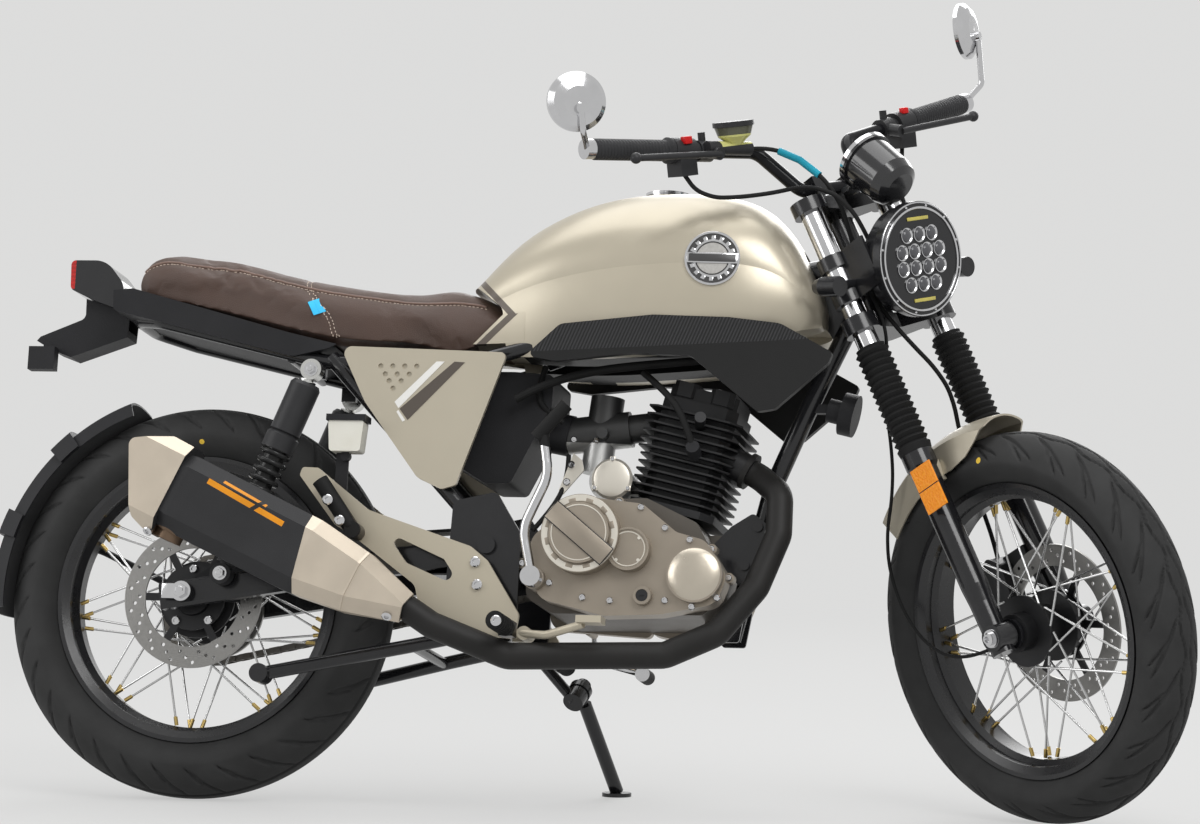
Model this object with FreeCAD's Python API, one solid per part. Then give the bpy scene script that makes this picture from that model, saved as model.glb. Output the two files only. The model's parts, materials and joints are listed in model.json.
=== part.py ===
"""Cafe racer motorcycle with spoked wheels, leaning on its side stand with the fork on its right-hand stop.

Every piece is first made in an upright construction frame, in millimetres: +X forward, +Y to the
rider's left, +Z up, with the rear axle above the origin and the fork pointing straight ahead.
The fork and front wheel are then turned to the stop, and the whole machine is leaned over until
both tyres and the side stand's foot touch the floor.  One STEP file is written for each node.
"""
import FreeCAD
import Part
import math
import os
from FreeCAD import Placement, Rotation, Vector

# ---------------------------------------------------------------- driving dimensions
WHEELBASE = 1366.0
REAR_TYRE_R, REAR_TYRE_W = 317.0, 130.0
FRONT_TYRE_R, FRONT_TYRE_W = 307.0, 110.0
RIM_LIP_R, RIM_SEAT_R, RIM_WELL_R = 232.0, 218.3, 209.5
REAR_RIM_W, FRONT_RIM_W = 88.0, 76.0
RAKE, FORK_OFFSET = 25.55, 43.5
STEER_LOCK, LEAN = 40.8, 11.7
FORK_HALF_SPREAD, LEG_BACK = 85.0, 7.5          # legs: half their spacing, and how far behind the axle
STANCHION_R, SLIDER_R, GAITER_R = 18.5, 22.0, 28.0
LOWER_YOKE_S, UPPER_YOKE_S = 543.0, 752.0      # heights along the steering axis
SLIDER_TOP_S = 319.0
STEM_R = 14.0
RUN = 0.1          # running clearance of a shaft in its bore
SEAT_GAP = 0.3     # gap where one still piece rests on another

SPOKES, SPOKE_R = 36, 1.8
FLANGE_R, FLANGE_T = 58.0, 5.0
AXLE_R = 8.0
REAR_DISC_R, REAR_DISC_Y = 114.0, -58.0
FRONT_DISC_R, FRONT_DISC_Y = 124.0, 52.0
DISC_T = 4.0

ARM_Y, ARM_W = 101.0, 26.0                     # swingarm's arms: centre and width
PIVOT = Vector(495.0, 0, 400.0)                # swingarm pivot
PIVOT_BOLT_R, PIVOT_TUBE_R = 8.0, 17.0
PLATE_T = 8.0
PLATE_Y = ARM_Y + ARM_W / 2 + 3.0              # inner face of the frame's pivot plates
RAIL_R, RAIL_Y = 12.0, 95.0                    # seat rails
STAY_R = 13.0                                  # rear frame tubes
BACKBONE_R, DOWN_TUBE_R = 22.0, 15.0

CHAIN_Y, CHAIN_W, CHAIN_H, CHAIN_GAP = 76.0, 9.0, 11.0, 0.8
REAR_SPROCKET_R, FRONT_SPROCKET_R = 86.0, 38.0
FRONT_SPROCKET = Vector(578.0, 0, 400.0)

SHOCK_Y = 130.0
SHOCK_TOP, SHOCK_FOOT = Vector(194, 0, 676), Vector(66, 0, 345)
PIPE_R = 21.0
BAR_R, GRIP_R, GRIP_L = 11.0, 17.0, 148.0
BAR_HALF, BAR_END = 412.0, Vector(904, 0, 1112)
HEADLIGHT = Vector(1186, 0, 888)
HEADLIGHT_R = 91.0
SIDE_STAND_PIVOT = Vector(600, 132, 206)
CENTRE_STAND_PIVOT, CENTRE_STAND_FOOT = Vector(468, 0, 262), Vector(140, 0, 186)
CENTRE_STAND_Y, CENTRE_STAND_FOOT_Y = 100.0, 135.0

X, Y, Z = Vector(1, 0, 0), Vector(0, 1, 0), Vector(0, 0, 1)
REAR_AXLE = Vector(0, 0, REAR_TYRE_R)
FRONT_AXLE = Vector(WHEELBASE, 0, FRONT_TYRE_R)
RAKE_RAD = math.radians(RAKE)
STEER_UP = Vector(-math.sin(RAKE_RAD), 0, math.cos(RAKE_RAD))
STEER_FORWARD = Vector(math.cos(RAKE_RAD), 0, math.sin(RAKE_RAD))
STEER_FOOT = FRONT_AXLE - STEER_FORWARD * FORK_OFFSET   # on the steering axis, level with the axle
STEERING_FRAME = Placement(STEER_FOOT, Rotation(Y, -RAKE))


# ---------------------------------------------------------------- shape helpers
def cylinder(start, end, radius):
    """Round bar from start to end."""
    return Part.makeCylinder(radius, (end - start).Length, start, end - start)


def across(x, z, y0, y1, radius):
    """Round bar along Y at (x, z) from y0 to y1."""
    return cylinder(Vector(x, min(y0, y1), z), Vector(x, max(y0, y1), z), radius)


def block(x0, x1, y0, y1, z0, z1):
    return Part.makeBox(x1 - x0, y1 - y0, z1 - z0, Vector(x0, y0, z0))


def corner(before, point, after, radius):
    """Start, middle and end of the arc that rounds a corner, or None where it is straight or sharp."""
    u, v = (before - point).normalize(), (after - point).normalize()
    angle = u.getAngle(v)
    if radius <= 0 or math.pi - angle < 1e-3:
        return None
    reach = radius / math.tan(angle / 2)
    bisector = (u + v).normalize()
    middle = point + bisector * (radius / math.sin(angle / 2) - radius)
    return point + u * reach, middle, point + v * reach


def wire(points, radii, closed):
    """Lines through points, with an arc of the given radius at each corner."""
    edges, count, here = [], len(points), None
    corners = []
    for i, point in enumerate(points):
        inside = closed or 0 < i < count - 1
        corners.append(corner(points[i - 1], point, points[(i + 1) % count], radii[i]) if inside else None)
    order = list(range(count)) + ([0] if closed else [])
    for step, i in enumerate(order):
        arc = corners[i]
        entry, leave = (arc[0], arc[2]) if arc else (points[i], points[i])
        if here is not None and (entry - here).Length > 1e-6:
            edges.append(Part.LineSegment(here, entry).toShape())
        if arc and not (closed and step == count):
            edges.append(Part.Arc(*arc).toShape())
        here = leave
        if closed and step == 0:
            here = leave
    return Part.Wire(Part.__sortEdges__(edges))


def tube(points, radius, bend):
    """Round tube along a path of straight runs joined by arcs; bend is one radius or one for each point."""
    bends = bend if isinstance(bend, list) else [bend] * len(points)
    path = wire(points, bends, False)
    section = Part.Wire(Part.makeCircle(radius, points[0], points[1] - points[0]))
    return path.makePipeShell([section], True, False)


def cord(name, points, radius):
    """Cable or hose: straight runs joined by the largest arcs that the runs allow."""
    bends, length = [0], 0.0
    for before, here, after in zip(points, points[1:], points[2:]):
        shorter = min((here - before).Length, (after - here).Length)
        bends.append(0.45 * shorter / math.tan((here - before).getAngle(after - here) / 2))
    bends.append(0)
    solid = tube(points, radius, bends)
    print("cord", name, "length", round(solid.Volume / (math.pi * radius ** 2)), "radii",
          [round(bend) for bend in bends[1:-1]])
    return solid


def side_outline(outline, y, default_radius=0.0):
    """Closed wire in the plane at y from rows of x, z and, where given, the corner's radius."""
    points = [Vector(row[0], y, row[1]) for row in outline]
    radii = [row[2] if len(row) > 2 else default_radius for row in outline]
    return wire(points, radii, True)


def plate(outline, y0, y1, radius=0.0):
    """Flat plate between y0 and y1 with the given side outline."""
    face = Part.Face(side_outline(outline, y0, radius))
    return face.extrude(Vector(0, y1 - y0, 0))


def lathe(profile, origin, axis, angle=360.0):
    """Solid turned from a closed profile of rows radius, height about an axis through origin."""
    points = [Vector(r, 0, h) for r, h in profile]
    face = Part.Face(Part.makePolygon(points + points[:1]))
    solid = face.revolve(Vector(0, 0, 0), Z, angle)
    solid.Placement = Placement(origin, Rotation(Z, axis))
    return solid


def rounded_section(centre, u, v, width, height, chamfer):
    """Closed eight-sided wire about centre, width along u and height along v."""
    w, h, c = width / 2, height / 2, chamfer
    corners = [(w, h - c), (w - c, h), (c - w, h), (-w, h - c), (-w, c - h), (c - w, -h), (w - c, -h),
        (w, c - h)]
    points = [centre + u * a + v * b for a, b in corners]
    return Part.makePolygon(points + points[:1])


def fuse(shapes):
    """One shape from several that touch."""
    shapes = list(shapes)
    return shapes[0].multiFuse(shapes[1:]).removeSplitter() if len(shapes) > 1 else shapes[0]


def mirrored(shape):
    """The same piece on the other side of the machine."""
    return shape.mirror(Vector(0, 0, 0), Y)


def both_sides(shape):
    return [shape, mirrored(shape)]


def in_steering_frame(shape):
    """Moves a piece from the fork's own frame (X forward, Z up the steering axis) to its place."""
    moved = shape.copy()
    moved.Placement = STEERING_FRAME.multiply(moved.Placement)
    return moved


def on_steering_axis(s, forward=0.0, left=0.0):
    return STEER_FOOT + STEER_UP * s + STEER_FORWARD * forward + Y * left


def between(a, b, t):
    return a + (b - a) * t


# ---------------------------------------------------------------- stance
def torus_low(centre, axle, outer_r, width):
    """Height of the lowest point of a tyre whose crown is an arc of half its width."""
    crown = width / 2
    return centre.z - (outer_r - crown) * math.sqrt(1 - axle.z ** 2) - crown


def steering(angle):
    """Turns the fork about its axis; positive is to the left."""
    turn = Rotation(STEER_UP, angle)
    return Placement(STEER_FOOT - turn.multVec(STEER_FOOT), turn)


AT_STOP = steering(-STEER_LOCK)


def stance():
    """Placement that sets the machine down on both tyres, leaning to the left."""
    lean = Rotation(X, -LEAN)
    pitch, step = 0.0, 4.0
    for _ in range(60):
        turn = lean.multiply(Rotation(Y, pitch))
        rear = torus_low(turn.multVec(REAR_AXLE), turn.multVec(Y), REAR_TYRE_R, REAR_TYRE_W)
        front_axle = turn.multVec(AT_STOP.Rotation.multVec(Y))
        front = torus_low(turn.multVec(AT_STOP.multVec(FRONT_AXLE)), front_axle, FRONT_TYRE_R, FRONT_TYRE_W)
        pitch += step if front > rear else -step
        step /= 2
    return Placement(Vector(0, 0, -rear), turn)


SET_DOWN = stance()


def floor_point(x, y):
    """Point of the construction frame at x, y that lies on the floor once the machine leans."""
    return Vector(x, y, -(SET_DOWN.Base.z + FLOOR_UP.x * x + FLOOR_UP.y * y) / FLOOR_UP.z)


FLOOR_UP = SET_DOWN.inverse().Rotation.multVec(Z)


# ---------------------------------------------------------------- wheels
def tyre(radius, width, rim_width, centre):
    """Hollow tyre: an arc of half the width for a crown, and walls that run down to the rim's seats."""
    crown = width / 2
    bead = rim_width / 2 - 4.3
    seat = RIM_SEAT_R + SEAT_GAP
    edge = Vector(radius - crown + crown * math.cos(math.radians(75)), 0,
        crown * math.sin(math.radians(75)))
    wall = Vector((edge.x + RIM_LIP_R) / 2, 0, (edge.z + bead) / 2 + crown * 0.1)
    lip = Vector(RIM_LIP_R, 0, bead)
    inner_edge, inner_lip = edge - Vector(7, 0, 7), Vector(RIM_LIP_R + 1, 0, bead - 6)
    inner_wall = wall - Vector(1, 0, 6)

    def low(point):
        return Vector(point.x, 0, -point.z)

    def arc(a, b, c):
        return Part.Arc(a, b, c).toShape()

    def line(a, b):
        return Part.LineSegment(a, b).toShape()

    toe_out, toe_in = Vector(seat, 0, bead), Vector(seat, 0, bead - 10)
    edges = [arc(low(edge), Vector(radius, 0, 0), edge), arc(edge, wall, lip), line(lip, toe_out),
             line(toe_out, toe_in), line(toe_in, inner_lip), arc(inner_lip, inner_wall, inner_edge),
             arc(inner_edge, Vector(radius - 10, 0, 0), low(inner_edge)),
             arc(low(inner_edge), low(inner_wall), low(inner_lip)), line(low(inner_lip), low(toe_in)),
             line(low(toe_in), low(toe_out)), line(low(toe_out), low(lip)), arc(low(lip), low(wall),
             low(edge))]
    solid = Part.Face(Part.Wire(edges)).revolve(Vector(0, 0, 0), Z, 360)
    solid.Placement = Placement(centre, Rotation(Z, Y))
    return solid


def rim(rim_width, centre):
    """Light-alloy rim with two seats and a shallow well."""
    h, well = rim_width / 2, RIM_WELL_R
    half = [(RIM_LIP_R, h - 4), (RIM_SEAT_R, h - 4), (RIM_SEAT_R, h - 18), (well, 12)]
    under = [(well - 5, 13), (RIM_SEAT_R - 5, h - 19), (RIM_SEAT_R - 5, h - 6), (RIM_LIP_R - 7, h),
        (RIM_LIP_R, h)]
    outline = half + [(r, -y) for r, y in reversed(half)] + [(r, -y) for r, y in reversed(under)] + under
    return lathe(outline, centre, Y)


def spokes(centre, flange_y, flange_r):
    """Crossed spokes with their nipples, half of them from each flange."""
    solids = []
    outer_r = flange_r + 6 + SPOKE_R + 0.5
    inner_r = RIM_WELL_R - 5 - 1.6
    pairs = SPOKES // 4
    for side in (-1, 1):
        for lead in (-1, 1):
            for i in range(pairs):
                hub_angle = math.radians(360.0 / pairs * (i + 0.25 * (lead > 0) + 0.12 * (side > 0)))
                rim_angle = hub_angle + lead * math.radians(52)
                start = Vector(outer_r * math.cos(hub_angle), side * (flange_y + 2.2 * lead),
                    outer_r * math.sin(hub_angle))
                rim_y = side * (7 + 3 * lead)
                end = Vector(inner_r * math.cos(rim_angle), rim_y, inner_r * math.sin(rim_angle))
                length = (end - start).Length
                thick = [(0, 0), (SPOKE_R, 0), (SPOKE_R, length - 14), (3.2, length - 14), (3.2, length),
                    (0, length)]
                solids.append(lathe(thick, centre + start, end - start))
    return Part.makeCompound(solids)


def disc(centre, y, radius, bolts_r, arms):
    """Brake disc: a drilled ring on a carrier with arms, bolted to the hub."""
    inner = radius - 34
    middle = centre + Y * (y - DISC_T / 2)
    ring = Part.makeCylinder(radius, DISC_T, middle, Y).cut(Part.makeCylinder(inner, DISC_T, middle, Y))
    holes = []
    for row, r in enumerate((inner + 9, inner + 17, inner + 25)):
        for i in range(18):
            turn = math.radians(20 * i + 6.5 * row)
            at = middle + Vector(r * math.cos(turn), 0, r * math.sin(turn))
            holes.append(Part.makeCylinder(3.0, DISC_T, at, Y))
    ring = ring.cut(Part.makeCompound(holes))
    carrier = Part.makeCylinder(bolts_r + 9, DISC_T, middle, Y)
    carrier = carrier.cut(Part.makeCylinder(bolts_r - 14, DISC_T, middle, Y))
    pieces = [ring, carrier]
    for i in range(arms):
        arm = Part.makeBox(inner + 4 - bolts_r, DISC_T, 12, Vector(bolts_r, -DISC_T / 2, -6))
        arm.Placement = Placement(centre + Y * y, Rotation(Y, 360.0 / arms * i))
        pieces.append(arm)
    return fuse(pieces)


REAR_BOLTS_R, FRONT_BOLTS_R = 44.0, 44.0
BORE_R = AXLE_R + RUN / 2


def hub(centre, flange_y, flange_r, disc_y, other_end, boss):
    """Hub with two spoke flanges, a seat for the disc and a bore for the axle."""
    side = 1 if disc_y > 0 else -1
    seat = abs(disc_y) - DISC_T / 2 - SEAT_GAP
    outline = [(BORE_R, -other_end), (30, -other_end), (30, -flange_y - FLANGE_T / 2)]
    outline += [(flange_r + 6, -flange_y - FLANGE_T / 2), (flange_r + 6, -flange_y + FLANGE_T / 2),
        (34, -flange_y + 9)]
    outline += [(34, flange_y - 9), (flange_r + 6, flange_y - FLANGE_T / 2),
        (flange_r + 6, flange_y + FLANGE_T / 2)]
    outline += [(50, flange_y + FLANGE_T / 2), (50, seat), (29, seat), (29, seat + boss),
        (BORE_R, seat + boss)]
    return lathe([(r, h) for r, h in outline], centre, Y * side)


REAR_FLANGE_Y, FRONT_FLANGE_Y = 34.0, 31.0
REAR_FLANGE_R, FRONT_FLANGE_R = 56.0, 50.0

rear_rim_r = REAR_SPROCKET_R - CHAIN_H / 2 - CHAIN_GAP
sprocket = lathe([(29, -3), (rear_rim_r, -3), (rear_rim_r, 3), (29, 3)], REAR_AXLE + Y * CHAIN_Y, Y)
windows = []
for i in range(6):
    turn = math.radians(60 * i + 30)
    at = REAR_AXLE + Vector(56 * math.cos(turn), CHAIN_Y - 3, 56 * math.sin(turn))
    windows.append(Part.makeCylinder(11, 6, at, Y))
sprocket = sprocket.cut(Part.makeCompound(windows))

rear_wheel = {
    "rear_tyre": tyre(REAR_TYRE_R, REAR_TYRE_W, REAR_RIM_W, REAR_AXLE),
    "rear_rim": rim(REAR_RIM_W, REAR_AXLE),
    "rear_spokes": spokes(REAR_AXLE, REAR_FLANGE_Y, REAR_FLANGE_R),
    "rear_hub": Part.makeCompound([fuse([hub(REAR_AXLE, REAR_FLANGE_Y, REAR_FLANGE_R, REAR_DISC_Y,
    CHAIN_Y + 4, 14), sprocket]),
                                   disc(REAR_AXLE, REAR_DISC_Y, REAR_DISC_R, REAR_BOLTS_R, 6)]),
}
front_wheel = {
    "front_tyre": tyre(FRONT_TYRE_R, FRONT_TYRE_W, FRONT_RIM_W, FRONT_AXLE),
    "front_rim": rim(FRONT_RIM_W, FRONT_AXLE),
    "front_spokes": spokes(FRONT_AXLE, FRONT_FLANGE_Y, FRONT_FLANGE_R),
    "front_hub": Part.makeCompound([hub(FRONT_AXLE, FRONT_FLANGE_Y, FRONT_FLANGE_R, FRONT_DISC_Y,
    FRONT_FLANGE_Y + 26, 9),
                                    disc(FRONT_AXLE, FRONT_DISC_Y, FRONT_DISC_R, FRONT_BOLTS_R, 6)]),
}

# ---------------------------------------------------------------- frame
chassis = {}

HEAD_LOW_S, HEAD_HIGH_S = LOWER_YOKE_S + 18, UPPER_YOKE_S - 19
head_tube = cylinder(on_steering_axis(HEAD_LOW_S), on_steering_axis(HEAD_HIGH_S), 24)
head_bore = cylinder(on_steering_axis(HEAD_LOW_S), on_steering_axis(HEAD_HIGH_S), STEM_R + RUN)
backbone = tube([on_steering_axis(655), Vector(900, 0, 850), Vector(545, 0, 726)], BACKBONE_R, 80)
cross_tube = across(545, 726, -RAIL_Y, RAIL_Y, 15)
gusset = plate([(1065, 790), (1045, 850), (960, 840), (1020, 745)], -4, 4)
chassis["frame_spine"] = fuse([head_tube, backbone, cross_tube, gusset]).cut(head_bore)

DOWN_TUBE_FOOT = Vector(869, 0, 276)
down_path = [Vector(1052, 0, 818), Vector(978, 0, 654), Vector(924, 0, 520), DOWN_TUBE_FOOT]
down_tube = tube(down_path, DOWN_TUBE_R, [0, 500, 250, 0])
MOUNT_Y = 28.0
upper_plate_rows = [(836, 420, 12), (866, 452, 8), (900, 474, 8), (922, 458, 10), (914, 400, 8),
    (888, 352, 8), (858, 384, 10)]
lower_plate_rows = [(864, 320, 6), (896, 330, 6), (886, 268, 5), (846, 268, 5)]
engine_plates = both_sides(plate(upper_plate_rows, -MOUNT_Y - 5, -MOUNT_Y))
engine_plates += both_sides(plate(lower_plate_rows, -MOUNT_Y - 5, -MOUNT_Y))
MOUNT_BOLTS = [(909, 452), (890, 390), (876, 306)]
plate_links = [across(x, z, -MOUNT_Y - 11, MOUNT_Y + 11, 8) for x, z in MOUNT_BOLTS]
down_frame = fuse([down_tube] + engine_plates + plate_links)
down_pieces = down_frame.cut(chassis["frame_spine"]).Solids
chassis["frame_down_tube"] = max(down_pieces, key=lambda piece: piece.Volume)

pivot_outline = [(436, 470, 12), (505, 486, 12), (548, 420, 20), (548, 300, 20), (540, 246, 12),
    (456, 242, 14), (430, 300, 20)]
right_plate = plate(pivot_outline, -PLATE_Y - PLATE_T, -PLATE_Y)
pivot_bolt = across(PIVOT.x, PIVOT.z, -PLATE_Y - PLATE_T - 9, PLATE_Y + PLATE_T + 9, PIVOT_BOLT_R)
nuts = both_sides(across(PIVOT.x, PIVOT.z, -PLATE_Y - PLATE_T - 9, -PLATE_Y - PLATE_T, 14))
tie = across(CENTRE_STAND_PIVOT.x + 52, CENTRE_STAND_PIVOT.z + 10, -PLATE_Y, PLATE_Y, 12)
plates = fuse(both_sides(right_plate) + nuts + [pivot_bolt, tie])
chassis["frame_pivot_plates"] = plates

top_rail = tube([Vector(545, -RAIL_Y, 726), Vector(440, -RAIL_Y, 697), Vector(205, -RAIL_Y, 697),
    Vector(-70, -RAIL_Y, 760),
                 Vector(-125, -50, 772), Vector(-125, 0, 772)], RAIL_R, 28)
shock_hanger = block(184, 208, -RAIL_Y - 7, -RAIL_Y + 5, 668, 700)
stay = cylinder(Vector(215, -RAIL_Y, 704), Vector(456, -RAIL_Y - 14, 452), STAY_R)
shock_lug = across(SHOCK_TOP.x, SHOCK_TOP.z, -SHOCK_Y - 14, -RAIL_Y, 7)
rail_half = [top_rail, shock_hanger, stay, shock_lug]
rear_cross = across(150, 704, -RAIL_Y, RAIL_Y, 10)
subframe = fuse([side for piece in rail_half for side in both_sides(piece)] + [rear_cross])
chassis["rear_subframe"] = subframe.cut(Part.makeCompound([chassis["frame_pivot_plates"],
    chassis["frame_spine"]]))

# ---------------------------------------------------------------- swingarm and rear suspension
ARM_H, WALL = 42.0, 3.0
arm_dir = (PIVOT - REAR_AXLE).normalize()
arm_up = arm_dir.cross(Y).normalize() * -1


def arm_bar(length, width, height, start):
    face = Part.Face(rounded_section(start, Y, arm_up, width, height, 5))
    return face.extrude(arm_dir * length)


arm_length = (PIVOT - REAR_AXLE).Length
right_arm = arm_bar(arm_length + 40, ARM_W, ARM_H, REAR_AXLE - arm_dir * 40 - Y * ARM_Y)
hollow = arm_bar(arm_length - 90, ARM_W - 2 * WALL, ARM_H - 2 * WALL, REAR_AXLE + arm_dir * 50 - Y * ARM_Y)
right_arm = right_arm.cut(hollow)
shock_foot = across(SHOCK_FOOT.x, SHOCK_FOOT.z, -SHOCK_Y - 14, -ARM_Y - ARM_W / 2 + 1, 7)
arm_cross = block(372, 428, -ARM_Y + ARM_W / 2 - 1, ARM_Y - ARM_W / 2 + 1, 357, 401)
arm_cross = arm_cross.cut(block(375, 425, -ARM_Y + ARM_W / 2 - 1, ARM_Y - ARM_W / 2 + 1, 360, 398))
pivot_tube = across(PIVOT.x, PIVOT.z, -ARM_Y - ARM_W / 2, ARM_Y + ARM_W / 2, PIVOT_TUBE_R)
arm_bosses = both_sides(across(PIVOT.x, PIVOT.z, -ARM_Y - ARM_W / 2, -ARM_Y + ARM_W / 2, 27))
swingarm = fuse(both_sides(right_arm) + both_sides(shock_foot) + [arm_cross, pivot_tube] + arm_bosses)
swingarm = swingarm.cut(across(PIVOT.x, PIVOT.z, -200, 200, PIVOT_BOLT_R + RUN))
BOBBIN_R, BOBBIN_DEPTH = 4.2, 20.0
BOBBIN_AT = REAR_AXLE - arm_dir * 28 - Y * (ARM_Y + ARM_W / 2)
bobbin_hole = cylinder(BOBBIN_AT, BOBBIN_AT + Y * BOBBIN_DEPTH, BOBBIN_R)
swingarm = swingarm.cut(Part.makeCompound(both_sides(bobbin_hole)))
swingarm = swingarm.cut(across(0, REAR_AXLE.z, -200, 200, AXLE_R + RUN))

axle = across(0, REAR_AXLE.z, -128, 128, AXLE_R)
axle_ends = both_sides(across(0, REAR_AXLE.z, -128, -ARM_Y - ARM_W / 2 - SEAT_GAP, 15))
rear_axle = fuse([axle] + axle_ends)


chassis["swingarm"] = Part.makeCompound([swingarm, rear_axle])


def shock(side):
    """Damper with its spring between an upper and a lower eye."""
    top, foot = SHOCK_TOP + Y * (side * SHOCK_Y), SHOCK_FOOT + Y * (side * SHOCK_Y)
    length = (top - foot).Length
    body = lathe([(0, 18), (16, 18), (16, 60), (24, 60), (24, 66), (17, 66), (17, 215), (27, 215),
        (27, 240), (20, 246),
                  (20, length - 112), (25, length - 108), (25, length - 28), (21, length - 22), (14,
                  length - 22), (14, length - 18), (0, length - 18)], foot, top - foot)
    coils = []
    for i in range(10):
        coil = Part.makeTorus(21, 4.5, foot + (top - foot).normalize() * (72 + i * 15.2), top - foot)
        coils.append(coil)
    eyes = [across(p.x, p.z, p.y - 11, p.y + 11, 17) for p in (top, foot)]
    holes = [across(p.x, p.z, p.y - 12, p.y + 12, 7 + RUN) for p in (top, foot)]
    necks = [cylinder(foot, foot + (top - foot) * 0.08, 9), cylinder(top, top + (foot - top) * 0.08, 9)]
    return fuse([body] + eyes + necks + coils).cut(Part.makeCompound(holes))


chassis["shock_absorbers"] = Part.makeCompound([shock(-1), shock(1)])


def fender(centre, crown_r, edge_r, half_width, wall, start, end):
    """Arched mudguard turned about the axle between two angles, measured up from straight ahead."""
    mid_r = edge_r + (crown_r - edge_r) * 0.72

    def section(offset):
        w = half_width - offset
        left, right = Vector(edge_r, -w, 0), Vector(edge_r, w, 0)
        return [left, Vector(mid_r - offset * 0.7, -w * 0.83, 0), Vector(crown_r - offset, 0, 0),
                Vector(mid_r - offset * 0.7, w * 0.83, 0), right]

    outer, inner = section(0), section(wall)
    edges = [Part.LineSegment(outer[0], outer[1]).toShape(),
        Part.Arc(outer[1], outer[2], outer[3]).toShape(),
             Part.LineSegment(outer[3], outer[4]).toShape(), Part.LineSegment(outer[4], inner[4]).toShape(),
             Part.LineSegment(inner[4], inner[3]).toShape(), Part.Arc(inner[3], inner[2],
             inner[1]).toShape(),
             Part.LineSegment(inner[1], inner[0]).toShape(), Part.LineSegment(inner[0], outer[0]).toShape()]
    face = Part.Face(Part.Wire(edges))
    face.Placement = Placement(centre, Rotation(Y, -start))
    return face.revolve(centre, Y, -(end - start))


hugger = fender(REAR_AXLE, 349, 316, 69, 4, 112, 184)
hugger_bands = [fender(REAR_AXLE, 361, 318, 73, 10, at - 3.5, at + 3.5) for at in (134.0, 160.0)]
hugger_stay = tube([Vector(-22, ARM_Y + 10, 330), Vector(-205, ARM_Y - 4, 412), Vector(-318, 66, 446)], 6,
    60)
chassis["rear_mudguard"] = fuse([hugger] + hugger_bands + [hugger_stay]).cut(Part.makeCompound([swingarm,
    rear_axle]))

# ---------------------------------------------------------------- engine
CASE_HALF = 100.0
case_outline = [(552, 392, 20), (600, 478, 20), (742, 484, 8), (824, 446, 15), (864, 376, 20),
    (862, 318, 20),
                (838, 300, 15), (600, 298, 25), (556, 322, 20)]
crankcase = plate(case_outline, -CASE_HALF, CASE_HALF)
sprocket_pocket = block(540, 640, CHAIN_Y - 14, CASE_HALF + 1, 338, 462)
front_shaft = across(FRONT_SPROCKET.x, FRONT_SPROCKET.z, CHAIN_Y - 15, CHAIN_Y + 12, 12)
front_sprocket = across(FRONT_SPROCKET.x, FRONT_SPROCKET.z, CHAIN_Y - 3, CHAIN_Y + 3,
                        FRONT_SPROCKET_R - CHAIN_H / 2 - SEAT_GAP)
lug_half = MOUNT_Y - SEAT_GAP
front_lugs = [block(820, 858, -lug_half, lug_half, 392, 438),
    block(830, 862, -lug_half, lug_half, 274, 330)]
front_mount = fuse(front_lugs).cut(down_tube)
crankcase = crankcase.cut(sprocket_pocket)
chassis["crankcase"] = fuse([crankcase, front_shaft, front_sprocket, front_mount]).cut(
    Part.makeCompound([chassis["frame_down_tube"], chassis["frame_pivot_plates"]]))

cover_outline = [(566, 410, 30), (582, 316, 30), (690, 290, 20), (780, 294, 20), (868, 312, 30),
    (884, 356, 30),
                 (846, 412, 25), (800, 424, 20), (744, 468, 15), (650, 478, 60)]
COVER_Y = -CASE_HALF - SEAT_GAP
cover = plate(cover_outline, COVER_Y - 42, COVER_Y)
big_cap = across(652, 415, COVER_Y - 70, COVER_Y - 42, 62)
big_ring = across(652, 415, COVER_Y - 78, COVER_Y - 70, 48)
small_cap = across(728, 393, COVER_Y - 62, COVER_Y - 42, 34)
dome = cylinder(Vector(834, COVER_Y - 42, 356), Vector(834, COVER_Y - 58, 356), 44)
kick_boss = across(579, 345, COVER_Y - 58, COVER_Y, 17)
oil_cap = across(752, 322, COVER_Y - 52, COVER_Y - 42, 15)
clutch_cover = fuse([cover, big_cap, big_ring, small_cap, dome, kick_boss, oil_cap])

left_outline = [(712, 440, 30), (705, 300, 30), (770, 286, 30), (868, 312, 30), (884, 356, 30),
    (846, 425, 25)]
generator = plate(left_outline, CASE_HALF + SEAT_GAP, CASE_HALF + 36)
generator_cap = across(796, 360, CASE_HALF + 36, CASE_HALF + 48, 58)
chain_cover = plate([(550, 440, 20), (552, 300, 25), (720, 290, 10), (724, 445, 15), (600, 470, 30)],
                    CASE_HALF + SEAT_GAP, CASE_HALF + 18)
shift_shaft = across(612, 302, CASE_HALF + 18, 162, 7)
generator_cover = fuse([generator, generator_cap, chain_cover, shift_shaft])
chassis["engine_covers"] = Part.makeCompound([clutch_cover, generator_cover])

BORE_TILT = 13.0
BORE_FOOT = Vector(772, 0, 462)
ENGINE_FRAME = Placement(BORE_FOOT, Rotation(Y, BORE_TILT))


def engine_block(x0, x1, y0, y1, z0, z1, chamfer=0.0):
    """Upright block in the cylinder's own frame, with its four standing edges cut off."""
    c = chamfer
    pts = [(x0 + c, y0), (x1 - c, y0), (x1, y0 + c), (x1, y1 - c), (x1 - c, y1), (x0 + c, y1),
        (x0, y1 - c), (x0, y0 + c)]
    if not c:
        pts = [(x0, y0), (x1, y0), (x1, y1), (x0, y1)]
    face = Part.Face(Part.makePolygon([Vector(px, py, z0) for px, py in pts + pts[:1]]))
    solid = face.extrude(Vector(0, 0, z1 - z0))
    solid.Placement = ENGINE_FRAME
    return solid


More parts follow.
